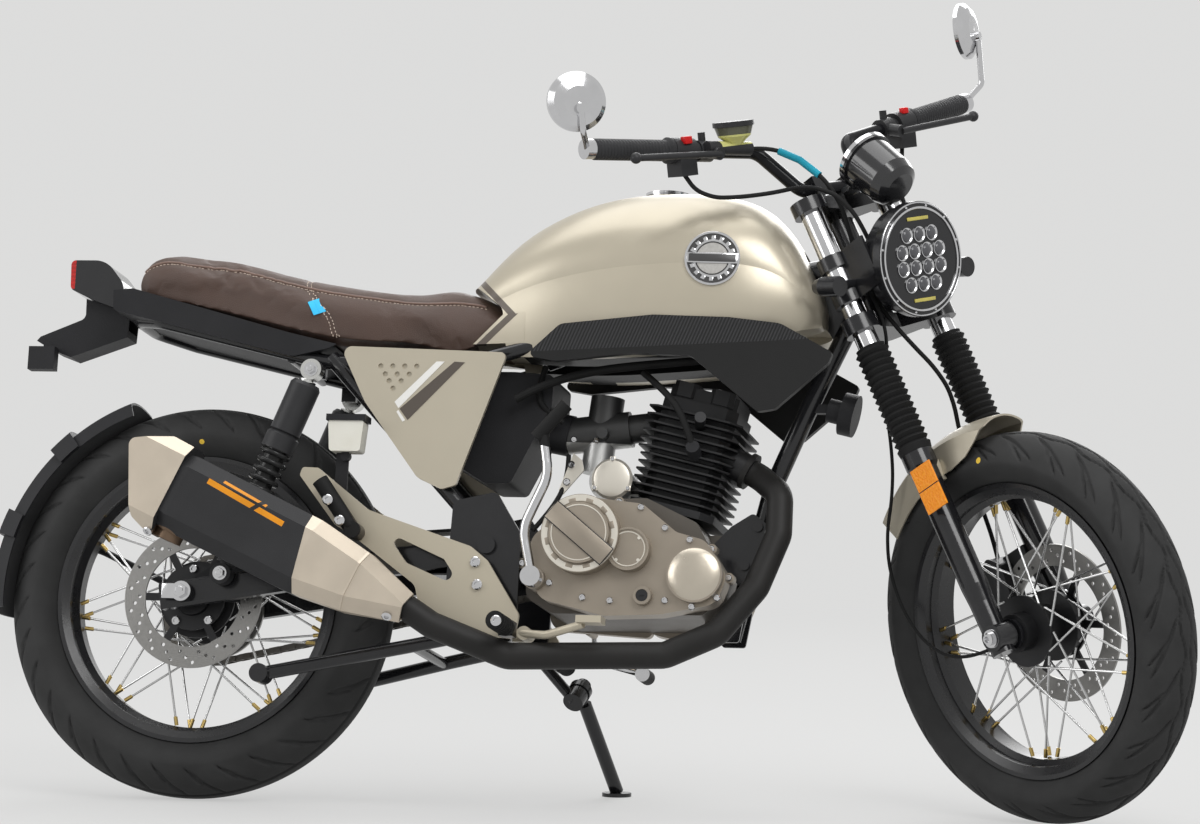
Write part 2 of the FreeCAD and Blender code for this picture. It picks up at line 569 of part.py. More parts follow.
FIN_T, FIN_PITCH, BLOCK_H = 3.0, 12.5, 92.0
barrel = engine_block(-58, 58, -58, 58, 6, BLOCK_H, 18)
fins = [engine_block(-74, 74, -82, 82, 24 + FIN_PITCH * i, 24 + FIN_PITCH * i + FIN_T,
    20) for i in range(6)]
foot = engine_block(-70, 70, -80, 80, 4, 16, 20)
PORT_IN, PORT_OUT = ENGINE_FRAME.multVec(Vector(48, -38, 116)), ENGINE_FRAME.multVec(Vector(94, -38, 104))
port = cylinder(PORT_IN, PORT_OUT, 25)
chassis["cylinder"] = fuse([barrel, foot] + fins).cut(chassis["crankcase"]).cut(port)
head = engine_block(-62, 62, -70, 70, BLOCK_H + SEAT_GAP, 186, 16)
head_fins = [engine_block(-78, 78, -90, 90, BLOCK_H + 5 + 13 * i, BLOCK_H + 8 + 13 * i,
    18) for i in range(6)]
rocker = engine_block(-56, 56, -62, 62, 186, 208, 14)
caps = [engine_block(x - 20, x + 20, -66, 66, 190, 214, 8) for x in (-30, 30)]
plug = cylinder(ENGINE_FRAME.multVec(Vector(10, -70, 150)), ENGINE_FRAME.multVec(Vector(16, -112, 158)), 9)
head_all = fuse([head, rocker, port, plug] + caps + head_fins)
chassis["cylinder_head"] = head_all.cut(chassis["frame_down_tube"])

motor = across(674, 516, -70, 62, 33)
motor_nose = across(674, 516, 62, 80, 20)
motor_foot = block(655, 716, -40, 40, 478, 500)
chassis["starter_motor"] = fuse([motor, motor_nose, motor_foot]).cut(
    Part.makeCompound([chassis["crankcase"], chassis["cylinder"]]))

intake_start, intake_end = ENGINE_FRAME.multVec(Vector(-62.3, 0, 146)), Vector(588, 0, 598)
inlet = cylinder(intake_start, between(intake_start, intake_end, 0.34), 23)
throttle = cylinder(between(intake_start, intake_end, 0.34), intake_end, 29)
bowl = cylinder(Vector(642, 0, 592), Vector(636, 0, 538), 25)
top_cover = cylinder(Vector(644, 0, 600), Vector(650, 0, 662), 27)
lug = across(652, 598, -44, 44, 9)
chassis["carburettor"] = fuse([inlet, throttle, bowl, top_cover, lug]).cut(
    Part.makeCompound([chassis["cylinder_head"], chassis["starter_motor"], chassis["frame_spine"]]))

box_outline = [(510, 690, 15), (574, 686, 10), (573, 636, 10), (512, 510, 10), (470, 510, 10),
    (300, 610, 20), (300, 690, 15)]
air_box = plate(box_outline, -66, 66)
air_hollow = plate([(506, 680), (564, 678), (563, 640), (508, 522), (474, 522), (310, 616), (310, 680)],
    -62, 62)
snout = cylinder(intake_end + (intake_end - intake_start).normalize() * -6, Vector(566, 0, 604), 33)
air_cutters = Part.makeCompound([chassis["carburettor"], chassis["frame_spine"], chassis["rear_subframe"]])
chassis["air_box"] = fuse([air_box, snout]).cut(air_hollow).cut(air_cutters)

# ---------------------------------------------------------------- exhaust
pipe_start = PORT_OUT + (PORT_OUT - PORT_IN).normalize() * SEAT_GAP
pipe_path = [pipe_start, pipe_start + (PORT_OUT - PORT_IN).normalize() * 26, Vector(950, -80, 496),
    Vector(953, -94, 430),
             Vector(924, -110, 344), Vector(868, -128, 268), Vector(790, -136, 231), Vector(548, -172,
             219), Vector(430, -198, 262), Vector(352, -218, 312)]
pipe = tube(pipe_path, PIPE_R, 34)
pipe_bore = tube(pipe_path, PIPE_R - 1.5, 34)
pipe_flange = cylinder(pipe_path[0], pipe_path[0] + (pipe_path[1] - pipe_path[0]).normalize() * 9, 30)
header = fuse([pipe, pipe_flange]).cut(pipe_bore)
chassis["exhaust_pipe"] = header.cut(Part.makeCompound([chassis["cylinder_head"],
    chassis["frame_down_tube"]]))

MUFFLER_Y = -228.0
muffler_back, muffler_front = Vector(-12, MUFFLER_Y, 472), Vector(316, MUFFLER_Y, 320)
muffler_dir = (muffler_front - muffler_back).normalize()
muffler_up = Y.cross(muffler_dir).normalize() * -1
MUFFLER_LENGTH = (muffler_front - muffler_back).Length
muffler_rows = [(0.0, 86, 112), (0.12, 92, 126), (0.75, 90, 124), (1.0, 76, 100), (1.24, 48, 50)]


def muffler_shell(shrink, first, last):
    sections = []
    for t, w, h in muffler_rows[first:last]:
        middle = muffler_back + muffler_dir * (t * MUFFLER_LENGTH) + Y * (10 * max(0, t - 0.75))
        sections.append(rounded_section(middle, Y, muffler_up, w - shrink, h - shrink, 22))
    return Part.makeLoft(sections, True, True)


body = muffler_shell(0, 0, 4)
hollow = muffler_shell(5, 0, 4)
prism_start = muffler_back - muffler_dir * 90


def end_prism(width, height, chamfer):
    section = Part.Face(rounded_section(prism_start, Y, muffler_up, width, height, chamfer))
    return section.extrude(muffler_dir * 130)


end_rows = [(46, 526), (12, 543, 12), (-56, 536, 12), (-48, 414, 12), (-22, 388, 6), (-14, 394)]
end_inner = [(42, 521), (11, 539), (-52, 532), (-44, 416), (-21, 393), (-12, 400)]
end_piece = plate(end_rows, MUFFLER_Y - 60, MUFFLER_Y + 60).common(end_prism(98, 156, 24))
end_hollow = plate(end_inner, MUFFLER_Y - 60, MUFFLER_Y + 60).common(end_prism(92, 148, 22))
OUTLET_IN, OUTLET_OUT = Vector(26, MUFFLER_Y, 440), Vector(2, MUFFLER_Y, 382)
outlet_dir = (OUTLET_OUT - OUTLET_IN).normalize()
outlet = cylinder(OUTLET_IN, OUTLET_OUT, 23)
outlet_bore = cylinder(OUTLET_IN - outlet_dir, OUTLET_OUT + outlet_dir, 19)
front_wall = Part.Face(rounded_section(muffler_front - muffler_dir * 4, Y, muffler_up, 76, 100,
    22)).extrude(muffler_dir * 4)
can_shell = fuse([body.cut(end_piece).cut(hollow), end_piece.cut(end_hollow)])
muffler = fuse([can_shell, front_wall, outlet]).cut(outlet_bore)
shield = muffler_shell(0, 3, 5).cut(muffler_shell(4, 3, 5))
chassis["muffler"] = fuse([muffler.cut(pipe), shield.cut(pipe)]).cut(pipe)

# ---------------------------------------------------------------- tank, seat and body panels
tank_rows = [  # x, top, bottom, half width at the knee, half width at the foot
    (428, 828, 712, 84, 82),
    (462, 864, 711, 92, 88),
    (503, 906, 709, 102, 94),
    (560, 944, 707, 117, 104),
    (640, 976, 706, 132, 118),
    (740, 990, 712, 142, 126),
    (840, 985, 722, 142, 126),
    (915, 955, 738, 130, 116),
    (960, 900, 752, 112, 100),
    (990, 838, 762, 88, 80),
    (1002, 800, 768, 66, 62),
]


def tank_section(x, top, bottom, knee, foot, shrink):
    top, bottom, knee, foot = top - shrink, bottom + shrink, knee - shrink, foot - shrink
    height = top - bottom
    shoulder = bottom + height * 0.50
    rise = top - shoulder
    a, b = Vector(x, -foot, bottom), Vector(x, foot, bottom)
    c, g = Vector(x, knee, shoulder), Vector(x, -knee, shoulder)
    side = Vector(x, knee * 0.985 + foot * 0.015 + 1.5, bottom + height * 0.27)
    other = Vector(x, -side.y, side.z)
    d, f = Vector(x, knee * 0.50, top - rise * 0.075), Vector(x, -knee * 0.50, top - rise * 0.075)
    cd, fg = Vector(x, knee * 0.845, top - rise * 0.37), Vector(x, -knee * 0.845, top - rise * 0.37)
    edges = [Part.LineSegment(a, b).toShape(), Part.Arc(b, side, c).toShape(), Part.Arc(c, cd, d).toShape(),
             Part.Arc(d, Vector(x, 0, top), f).toShape(), Part.Arc(f, fg, g).toShape(), Part.Arc(g, other,
             a).toShape()]
    return Part.Wire(edges)


def tank_body(shrink, rows):
    return Part.makeLoft([tank_section(*row, shrink) for row in rows], True, False)


TANK_WALL = 2.5
seat_nook = plate([(380, 827), (441, 827, 10), (492, 787, 20), (505, 690), (380, 690)], -150, 150)
tank_outer = tank_body(0, tank_rows).cut(seat_nook)
tunnel = fuse([block(430, 1010, -38, 38, 690, 772), cylinder(Vector(500, 0, 750), Vector(910, 0, 872), 38),
               cylinder(Vector(880, 0, 865), on_steering_axis(640), 38)])
tunnel_wall = fuse([block(430, 1010, -41, 41, 690, 775), cylinder(Vector(500, 0, 750), Vector(910, 0, 872),
    41),
                    cylinder(Vector(880, 0, 865), on_steering_axis(640), 41)])
tank_hollow = tank_body(TANK_WALL * 2, tank_rows[3:-2]).cut(tunnel_wall)
CAP_X, CAP_R = 733.0, 31.0
filler = cylinder(Vector(CAP_X, 0, 930), Vector(CAP_X, 0, 990.5), CAP_R + 5)
filler_bore = cylinder(Vector(CAP_X, 0, 930), Vector(CAP_X, 0, 996), CAP_R)
tank = fuse([tank_outer.cut(tunnel), filler]).cut(tank_hollow).cut(filler_bore)
tank = tank.cut(Part.makeCompound([chassis["frame_spine"], chassis["rear_subframe"]]))
cap = fuse([cylinder(Vector(CAP_X, 0, 972), Vector(CAP_X, 0, 991.5), CAP_R - SEAT_GAP),
            cylinder(Vector(CAP_X, 0, 990.8), Vector(CAP_X, 0, 995), CAP_R + 7)])
chassis["fuel_tank"] = Part.makeCompound([tank, cap])

trim_outline = [(543, 701, 8), (597, 753, 20), (745, 769, 60), (867, 766, 60), (949, 757, 40),
    (1034, 711, 6),
                (1028, 695, 6), (947, 621, 10), (919, 616, 10), (809, 704, 20), (715, 707, 40), (593, 693,
                20)]
trim = plate(trim_outline, -145, -131)
trim_lugs = [block(640, 690, -131, -112, 720, 738), block(880, 930, -131, -108, 700, 736)]
right_trim = fuse([trim] + trim_lugs).cut(tank_outer)
chassis["tank_trim"] = Part.makeCompound(both_sides(right_trim))

seat_rows = [  # x, top, bottom, half width at the middle, half width at the top
    (-122, 829, 806, 92, 78),
    (-106, 864, 800, 102, 86),
    (-40, 873, 786, 112, 94),
    (42, 863, 768, 116, 98),
    (148, 838, 742, 124, 104),
    (250, 821, 724, 126, 102),
    (362, 816, 720, 112, 86),
    (438, 819, 719, 94, 68),
    (464, 802, 738, 88, 64),
    (484, 784, 764, 82, 62),
]


def seat_section(x, top, bottom, wide, narrow):
    middle = bottom + (top - bottom) * 0.45
    a, b = Vector(x, -wide + 4, bottom), Vector(x, wide - 4, bottom)
    c, g = Vector(x, wide, middle), Vector(x, -wide, middle)
    d, f = Vector(x, narrow, top - 6), Vector(x, -narrow, top - 6)
    cd = Vector(x, (wide + narrow) / 2 + 3, (middle + top) / 2 + 2)
    fg = Vector(x, -cd.y, cd.z)
    edges = [Part.LineSegment(a, b).toShape(), Part.LineSegment(b, c).toShape(),
        Part.Arc(c, cd, d).toShape(),
             Part.Arc(d, Vector(x, 0, top), f).toShape(), Part.Arc(f, fg, g).toShape(), Part.LineSegment(g,
             a).toShape()]
    return Part.Wire(edges)


seat = Part.makeLoft([seat_section(*row) for row in seat_rows], True, False)
chassis["seat"] = seat

cover_line = [(-152, 808), (-150, 775, 8), (155, 702, 30), (214, 716, 10), (226, 723), (148, 740.5),
    (-119, 811)]
tail = plate(cover_line, -115, 115).cut(plate([(-138, 800), (-138, 776), (155, 706), (230, 722),
    (148, 760), (-130, 830)], -111, 111))
tail = tail.cut(seat)
chassis["tail_cover"] = tail.cut(chassis["rear_subframe"])

side_outline_rows = [(238, 716, 12), (512, 708, 8), (440, 494, 6), (417, 487, 10), (377, 505, 20),
    (284, 626, 60)]
side_cover = plate(side_outline_rows, -134, -126)
HOLE_R, HOLE_PITCH = 4.2, 19.6
cover_pegs = [block(x, x + 16, -126, -RAIL_Y - 10, 688, 702) for x in (302, 446)]
dots = []
for count, x, z in [(4, 307, 684), (3, 315, 671), (2, 322, 660), (1, 329, 648)]:
    for i in range(count):
        dots.append(across(x + HOLE_PITCH * i, z, -134, -130, HOLE_R))
right_cover = fuse([side_cover] + cover_pegs).cut(Part.makeCompound(dots))
right_cover = right_cover.cut(Part.makeCompound([chassis["rear_subframe"], chassis["seat"]]))
chassis["side_covers"] = Part.makeCompound(both_sides(right_cover))

# ---------------------------------------------------------------- tail end
tail_light = plate([(-250, 872, 8), (-248, 824, 10), (-214, 808), (-150, 786, 4), (-153.5, 806, 4),
    (-160, 836, 25),
                    (-190, 872, 40)], -46, 46)
lamp_hollow = plate([(-244, 866), (-242, 828), (-212, 814), (-176, 806), (-174, 832), (-194, 864)], -41, 41)
chassis["tail_light"] = tail_light.cut(lamp_hollow).cut(chassis["tail_cover"])
ARM_HALF = 26.0
bracket_side = [(-226, 812), (-190, 800), (-150, 786), (-152, 748), (-246, 714), (-276, 725), (-306, 741),
    (-300, 748), (-225, 779, 12)]
bracket_hollow = [(-224, 830), (-192, 808), (-150, 800), (-150, 760), (-246, 722), (-272, 732),
    (-294, 742), (-222, 774, 12)]
flap = plate(bracket_side, -ARM_HALF, ARM_HALF).cut(plate(bracket_hollow, -ARM_HALF + 4, ARM_HALF - 4))
plate_bracket = flap.cut(Part.makeCompound([chassis["tail_light"], chassis["tail_cover"]]))


def indicator(start, stalk_end, length, radius, axis):
    """Small flashing lamp: a bullet on a stalk."""
    stalk = cylinder(start, stalk_end, 6)
    lamp = lathe([(0, -length * 0.5), (radius * 0.7, -length * 0.5), (radius, -length * 0.2),
        (radius, length * 0.5),
                  (0, length * 0.5)], stalk_end, axis)
    return fuse([stalk, lamp])


plate_lamp = block(-312, -268, -ARM_HALF - 20, -ARM_HALF + 2, 690, 728)
lamp_arm = block(-294, -276, -ARM_HALF, -ARM_HALF + 3, 700, 738)
chassis["plate_bracket"] = fuse([plate_bracket, plate_lamp, lamp_arm])

# ---------------------------------------------------------------- footrests, pedals, chain and rear brake
BRACKET_Y = 152.0
bracket_rows = [(194, 516, 6), (220, 515, 6), (306, 449, 30), (475, 394, 20), (503, 372, 15),
    (558, 288, 10), (552, 250, 8),
                (448, 256, 20), (397, 296, 20), (388, 331, 20), (286, 405, 30), (253, 424, 20), (190, 503,
                6)]
bracket = plate(bracket_rows, -BRACKET_Y, -BRACKET_Y + PLATE_T)
bracket_hole = plate([(334, 416, 8), (433, 373, 8), (465, 327, 10), (372, 366, 15)], -BRACKET_Y,
    -BRACKET_Y + PLATE_T)
inner_face = -BRACKET_Y + PLATE_T
bosses = [across(452, 340, inner_face, -PLATE_Y - PLATE_T, 9),
    across(520, 262, inner_face, -PLATE_Y - PLATE_T, 9)]
peg_bolt = across(545, 262, -BRACKET_Y - 10, inner_face + 8, 8)
peg_arm = block(534, 556, -BRACKET_Y - 30, -BRACKET_Y, 250, 274)
peg = across(547, 262, -BRACKET_Y - 118, -BRACKET_Y - 30, 13)
peg_rings = [across(547, 262, -BRACKET_Y - 112 + 12 * i, -BRACKET_Y - 107 + 12 * i, 15) for i in range(6)]
rear_peg = cylinder(Vector(284, -BRACKET_Y - 22, 418), Vector(232, -BRACKET_Y - 30, 490), 13)
rear_hinge = across(290, 412, -BRACKET_Y - 34, -BRACKET_Y, 13)
footrest = fuse([bracket.cut(bracket_hole), peg_bolt, peg_arm, peg, rear_peg,
    rear_hinge] + bosses + peg_rings)
chassis["footrests"] = Part.makeCompound(both_sides(footrest))

pedal_y = -BRACKET_Y - 14
pedal = tube([Vector(566, pedal_y, 256), Vector(610, pedal_y - 16, 252), Vector(672, pedal_y - 34, 268)],
    6.5, 40)
pedal_pad = block(664, 704, pedal_y - 56, pedal_y - 20, 268, 279)
pedal_pivot = across(572, 256, -BRACKET_Y - 20, -BRACKET_Y + PLATE_T + 8, 11)
pedal_tab = block(548, 572, inner_face, inner_face + 6, 246, 266)
brake_pedal = fuse([pedal, pedal_pad, pedal_pivot, pedal_tab]).cut(
    Part.makeCompound([chassis["footrests"], chassis["exhaust_pipe"]]))
lever_y = -pedal_y
lever = tube([Vector(566, lever_y + 1, 268), Vector(612, lever_y + 8, 262),
    Vector(693, lever_y + 17, 243)], 6, 40)
lever_peg = across(692, 242, lever_y + 9, lever_y + 56, 12)
lever_pivot = across(566, 268, BRACKET_Y - PLATE_T + SEAT_GAP, lever_y + 7, 11)
lever_rod = cylinder(Vector(613, lever_y + 7.5, 261), Vector(611, lever_y + 1, 302), 4.5)
gear_lever = fuse([lever, lever_peg, lever_pivot, lever_rod]).cut(
    Part.makeCompound([chassis["footrests"], generator_cover]))

kick_y = COVER_Y - 70
kick = [Vector(579, kick_y, 345), Vector(562, kick_y - 4, 420), Vector(600, kick_y - 12, 503),
    Vector(590, kick_y - 14, 566)]
kick_arm = tube(kick, 8, 60)
kick_hub = across(579, 345, kick_y - 12, COVER_Y - 58, 16)
kick_foot = cylinder(Vector(578, kick_y - 14, 562), Vector(624, kick_y - 14, 616), 11)
kick_lever = fuse([kick_arm, kick_hub, kick_foot]).cut(clutch_cover)
chassis["foot_levers"] = Part.makeCompound([brake_pedal, gear_lever, kick_lever])


def chain_loop(grow, y0, y1):
    """Outline of two sprocket circles and the straight runs between them."""
    rear_r, front_r = REAR_SPROCKET_R + grow, FRONT_SPROCKET_R + grow
    line = FRONT_SPROCKET - REAR_AXLE
    tilt = math.atan2(line.z, line.x)
    open_angle = math.acos((rear_r - front_r) / line.Length)
    points = []
    for sign in (1, -1):
        a = tilt + sign * open_angle
        points.append((REAR_AXLE + Vector(math.cos(a), 0, math.sin(a)) * rear_r,
                       FRONT_SPROCKET + Vector(math.cos(a), 0, math.sin(a)) * front_r))
    (r1, f1), (r2, f2) = points
    ahead, behind = line * (1 / line.Length), line * (-1 / line.Length)
    edges = [Part.LineSegment(r1, f1).toShape(), Part.Arc(f1, FRONT_SPROCKET + ahead * front_r,
        f2).toShape(),
             Part.LineSegment(f2, r2).toShape(), Part.Arc(r2, REAR_AXLE + behind * rear_r, r1).toShape()]
    face = Part.Face(Part.Wire(edges))
    face.translate(Vector(0, y0, 0))
    return face.extrude(Vector(0, y1 - y0, 0))


chain = chain_loop(CHAIN_H / 2, CHAIN_Y - CHAIN_W, CHAIN_Y + CHAIN_W).cut(
    chain_loop(-CHAIN_H / 2, CHAIN_Y - CHAIN_W, CHAIN_Y + CHAIN_W))
chassis["chain"] = chain
guard_rows = [(20, 424), (120, 434), (430, 460), (430, 455), (120, 429), (20, 419)]
guard_inner_y = CHAIN_Y - CHAIN_W - 3
guard = plate(guard_rows, guard_inner_y, ARM_Y)
guard_leg = block(330, 352, ARM_Y - 5, ARM_Y, 393, 450)
chassis["chain_guard"] = fuse([guard, guard_leg]).cut(Part.makeCompound([swingarm,
    chassis["shock_absorbers"]]))


def caliper(outline, disc_y, half, pad_clear, disc_centre, disc_radius):
    """Brake caliper that straddles its disc with a slot for it."""
    solid = plate(outline, disc_y - half, disc_y + half)
    slot = across(disc_centre.x, disc_centre.z, disc_y - DISC_T / 2 - pad_clear,
        disc_y + DISC_T / 2 + pad_clear,
                  disc_radius + 5.5)
    return solid.cut(slot)


rear_caliper_rows = [(52, 398, 10), (98, 372, 12), (128, 402, 12), (92, 438, 15), (56, 440, 12)]
rear_caliper = caliper(rear_caliper_rows, REAR_DISC_Y, 25, 1.2, REAR_AXLE, REAR_DISC_R)
caliper_lug = block(84, 112, REAR_DISC_Y - 33, REAR_DISC_Y - 25, 330, 412)
axle_collar = across(0, REAR_AXLE.z, -ARM_Y + ARM_W / 2 + SEAT_GAP, REAR_DISC_Y - 18, 18)
hanger = plate([(-16, 330), (-4, 300), (20, 304), (112, 372), (108, 392), (84, 396)], REAR_DISC_Y - 30,
    REAR_DISC_Y - 25)
rear_brake = fuse([rear_caliper, hanger, axle_collar]).cut(swingarm).cut(across(0, REAR_AXLE.z, -100, -60,
    AXLE_R + SEAT_GAP))

jar_y = -BRACKET_Y + 6
jar = plate([(238, 541, 5), (234, 590, 3), (292, 590, 3), (288, 541, 5)], jar_y - 16, jar_y + 16)
jar_lid = block(231, 295, jar_y - 19, jar_y + 19, 590, 600)
jar_neck = across(262, 535, jar_y - 6, jar_y + 6, 8)
jar_foot = block(246, 266, inner_face + SEAT_GAP, inner_face + 5, 436, 545)
chassis["rear_brake"] = Part.makeCompound([rear_brake, fuse([jar, jar_lid, jar_neck,
    jar_foot]).cut(chassis["footrests"])])

horn = cylinder(Vector(1030, 0, 642), Vector(1052, 0, 637), 34)
horn_back = cylinder(Vector(1008, 0, 647), Vector(1030, 0, 642), 19)
horn_arm = block(980, 1014, -8, 8, 641, 655)
chassis["horn"] = fuse([horn, horn_back, horn_arm]).cut(chassis["frame_down_tube"])

# ---------------------------------------------------------------- stands
LEG_R, PAD_R, PAD_T = 11.0, 24.0, 6.0
STAND_BOLT_R = 7.0
pad_point = floor_point(642, 262)
pad_top = pad_point + FLOOR_UP * PAD_T
leg_down = (pad_top + FLOOR_UP * 4 - SIDE_STAND_PIVOT).normalize()
leg_back = Vector(-200, 58, -10).normalize()
SIDE_STAND_AXIS = leg_down.cross(leg_back).normalize()
SIDE_STAND_TURN = math.degrees(leg_down.getAngle(leg_back))
bolt_half = SIDE_STAND_AXIS * 19
stand_eye = cylinder(SIDE_STAND_PIVOT - SIDE_STAND_AXIS * 6, SIDE_STAND_PIVOT + SIDE_STAND_AXIS * 6, 19)
stand_neck = cylinder(SIDE_STAND_PIVOT + leg_down * 10, SIDE_STAND_PIVOT + leg_down * 40, 6)
stand_leg = cylinder(SIDE_STAND_PIVOT + leg_down * 26, pad_top + FLOOR_UP * 2, LEG_R)
stand_pad = cylinder(pad_point, pad_top, PAD_R)
stand_hole = cylinder(SIDE_STAND_PIVOT - bolt_half, SIDE_STAND_PIVOT + bolt_half, STAND_BOLT_R + RUN)
floor_cut = cylinder(pad_point - FLOOR_UP * 40, pad_point, 60)
side_stand = {"side_stand": fuse([stand_eye, stand_neck, stand_leg,
    stand_pad]).cut(stand_hole).cut(floor_cut)}

side_bolt = cylinder(SIDE_STAND_PIVOT - SIDE_STAND_AXIS * 32, SIDE_STAND_PIVOT + bolt_half, STAND_BOLT_R)
side_head = cylinder(SIDE_STAND_PIVOT + SIDE_STAND_AXIS * 6.4, SIDE_STAND_PIVOT + bolt_half, 12)
side_seat = cylinder(SIDE_STAND_PIVOT - SIDE_STAND_AXIS * 32, SIDE_STAND_PIVOT - SIDE_STAND_AXIS * 6.4, 17)
side_reach = cylinder(SIDE_STAND_PIVOT - SIDE_STAND_AXIS * 26, Vector(526, PLATE_Y + 3, 262), 9)
side_reach = side_reach.cut(cylinder(SIDE_STAND_PIVOT - SIDE_STAND_AXIS * 6.4,
    SIDE_STAND_PIVOT + bolt_half, 22))
side_reach = side_reach.cut(block(400, 565, PLATE_Y + PLATE_T, 200, 200, 300))
side_lug = fuse([side_bolt, side_head, side_seat, side_reach])

leg_half = tube([CENTRE_STAND_PIVOT - Y * (CENTRE_STAND_Y),
    between(CENTRE_STAND_PIVOT, CENTRE_STAND_FOOT, 0.25) - Y * (CENTRE_STAND_Y + 4),
                 CENTRE_STAND_FOOT - Y * CENTRE_STAND_FOOT_Y], LEG_R, 150)
centre_eye = across(CENTRE_STAND_PIVOT.x, CENTRE_STAND_PIVOT.z, -CENTRE_STAND_Y - 10, -CENTRE_STAND_Y + 10,
    16)
centre_pad = across(CENTRE_STAND_FOOT.x + 4, CENTRE_STAND_FOOT.z, -CENTRE_STAND_FOOT_Y - 22,
    -CENTRE_STAND_FOOT_Y + 14, 15)
bar_at = between(CENTRE_STAND_PIVOT, CENTRE_STAND_FOOT, 0.27)
centre_bar = across(bar_at.x, bar_at.z, -CENTRE_STAND_Y - 3, CENTRE_STAND_Y + 3, 9)
tread = tube([Vector(168, CENTRE_STAND_FOOT_Y - 4, 192), Vector(172, 176, 196), Vector(172, 186, 214)], 7,
    12)
centre = fuse(both_sides(leg_half) + both_sides(centre_eye) + both_sides(centre_pad) + [centre_bar, tread])
centre_bore = across(CENTRE_STAND_PIVOT.x, CENTRE_STAND_PIVOT.z, -200, 200, STAND_BOLT_R + RUN)
centre_stand = {"centre_stand": centre.cut(centre_bore)}
pin = across(CENTRE_STAND_PIVOT.x, CENTRE_STAND_PIVOT.z, -PLATE_Y - PLATE_T - 5, -CENTRE_STAND_Y + 16,
    STAND_BOLT_R)
pin_heads = both_sides(across(CENTRE_STAND_PIVOT.x, CENTRE_STAND_PIVOT.z, -PLATE_Y - PLATE_T - 5,
    -PLATE_Y - PLATE_T, 12))
plates = chassis["frame_pivot_plates"]
chassis["frame_pivot_plates"] = fuse([plates, side_lug] + both_sides(pin) + pin_heads)
CENTRE_STAND_TURN = 82.0

# ---------------------------------------------------------------- fork (its own frame: X ahead, Z up the steering axis)
fork = {}
AXLE_X, LEG_X = FORK_OFFSET, FORK_OFFSET - LEG_BACK
SLIDER_FOOT_S, STANCHION_TOP_S = -26.0, UPPER_YOKE_S + 14


def bar_s(x, y, z0, z1, radius):
    """Round bar parallel to the steering axis."""
    return cylinder(Vector(x, y, z0), Vector(x, y, z1), radius)


STEM_FOOT_S = LOWER_YOKE_S - 13
stem = bar_s(0, 0, STEM_FOOT_S, UPPER_YOKE_S + 20, STEM_R)
stem_nut = bar_s(0, 0, UPPER_YOKE_S + 11, UPPER_YOKE_S + 20, 19)


def yoke(s, thick, stem_hole):
    """Clamp plate that joins the steering stem to both stanchions."""
    outline = [(-18, -22), (-18, 22), (30, FORK_HALF_SPREAD + 5), (62, FORK_HALF_SPREAD), (36, 0),
               (62, -FORK_HALF_SPREAD), (30, -FORK_HALF_SPREAD - 5), (-18, -22)]
    web = Part.Face(Part.makePolygon([Vector(x, y, s - thick / 2) for x, y in outline])).extrude(Vector(0,
        0, thick))
    rings = [bar_s(LEG_X, side * FORK_HALF_SPREAD, s - thick / 2, s + thick / 2,
        STANCHION_R + 10) for side in (-1, 1)]
    holes = [bar_s(LEG_X, side * FORK_HALF_SPREAD, s - 50, s + 50, STANCHION_R + 0.05) for side in (-1, 1)]
    solid = fuse([web, bar_s(0, 0, s - thick / 2, s + thick / 2, 26)] + rings).cut(Part.makeCompound(holes))
    return solid.cut(bar_s(0, 0, s - 50, s + 50, STEM_R + 0.05)) if stem_hole else solid


lower_yoke = fuse([yoke(LOWER_YOKE_S, 26, False), stem])
clamp_x, clamp_s = 18.0, UPPER_YOKE_S + 36
clamps = [Part.makeBox(36, 22, 46, Vector(clamp_x - 18, side * 40 - 11, UPPER_YOKE_S + 8)) for side in (-1,
    1)]
bar_hole = across(clamp_x, clamp_s, -60, 60, BAR_R + 0.05)
upper_yoke = fuse([yoke(UPPER_YOKE_S, 22, True)] + clamps + [stem_nut]).cut(bar_hole).cut(bar_s(0, 0, 0,
    900, STEM_R + 0.05))
fork["fork_yokes"] = Part.makeCompound([lower_yoke, upper_yoke])
stanchions, sliders, gaiters = [], [], []
for side in (-1, 1):
    y = side * FORK_HALF_SPREAD
    tube_cut = bar_s(LEG_X, y, 90, STANCHION_TOP_S - 20, STANCHION_R - 3)
    stanchions += [bar_s(LEG_X, y, 60, STANCHION_TOP_S, STANCHION_R).cut(tube_cut)]
    outer = lathe([(0, SLIDER_FOOT_S), (19, SLIDER_FOOT_S), (20, 60), (SLIDER_R, 90), (SLIDER_R, 290),
        (26, 296),
                   (26, SLIDER_TOP_S), (0, SLIDER_TOP_S)], Vector(LEG_X, y, 0), Z)
    bore = bar_s(LEG_X, y, 59.7, SLIDER_TOP_S + 1, STANCHION_R + 0.05)
    axle_boss = across(AXLE_X, 0, y - side * 16, y + side * 20, 21)
    sliders.append(fuse([outer, axle_boss]).cut(bore).cut(across(AXLE_X, 0, -200, 200, AXLE_R + RUN)))
    rows = [(STANCHION_R + 0.4, SLIDER_TOP_S + 0.4), (GAITER_R - 2, SLIDER_TOP_S + 0.4)]
    s = SLIDER_TOP_S + 8
    while s < 494:
        rows += [(GAITER_R, s + 3), (GAITER_R - 5, s + 8)]
        s += 11
    rows += [(GAITER_R - 4, 504), (STANCHION_R + 0.4, 504)]
    gaiters.append(lathe(rows, Vector(LEG_X, y, 0), Z))
fork["stanchions"] = Part.makeCompound(stanchions)
sliders = Part.makeCompound(sliders)
fork["fork_gaiters"] = Part.makeCompound(gaiters)
front_axle = across(AXLE_X, 0, -FORK_HALF_SPREAD - 24, FORK_HALF_SPREAD + 24, AXLE_R)
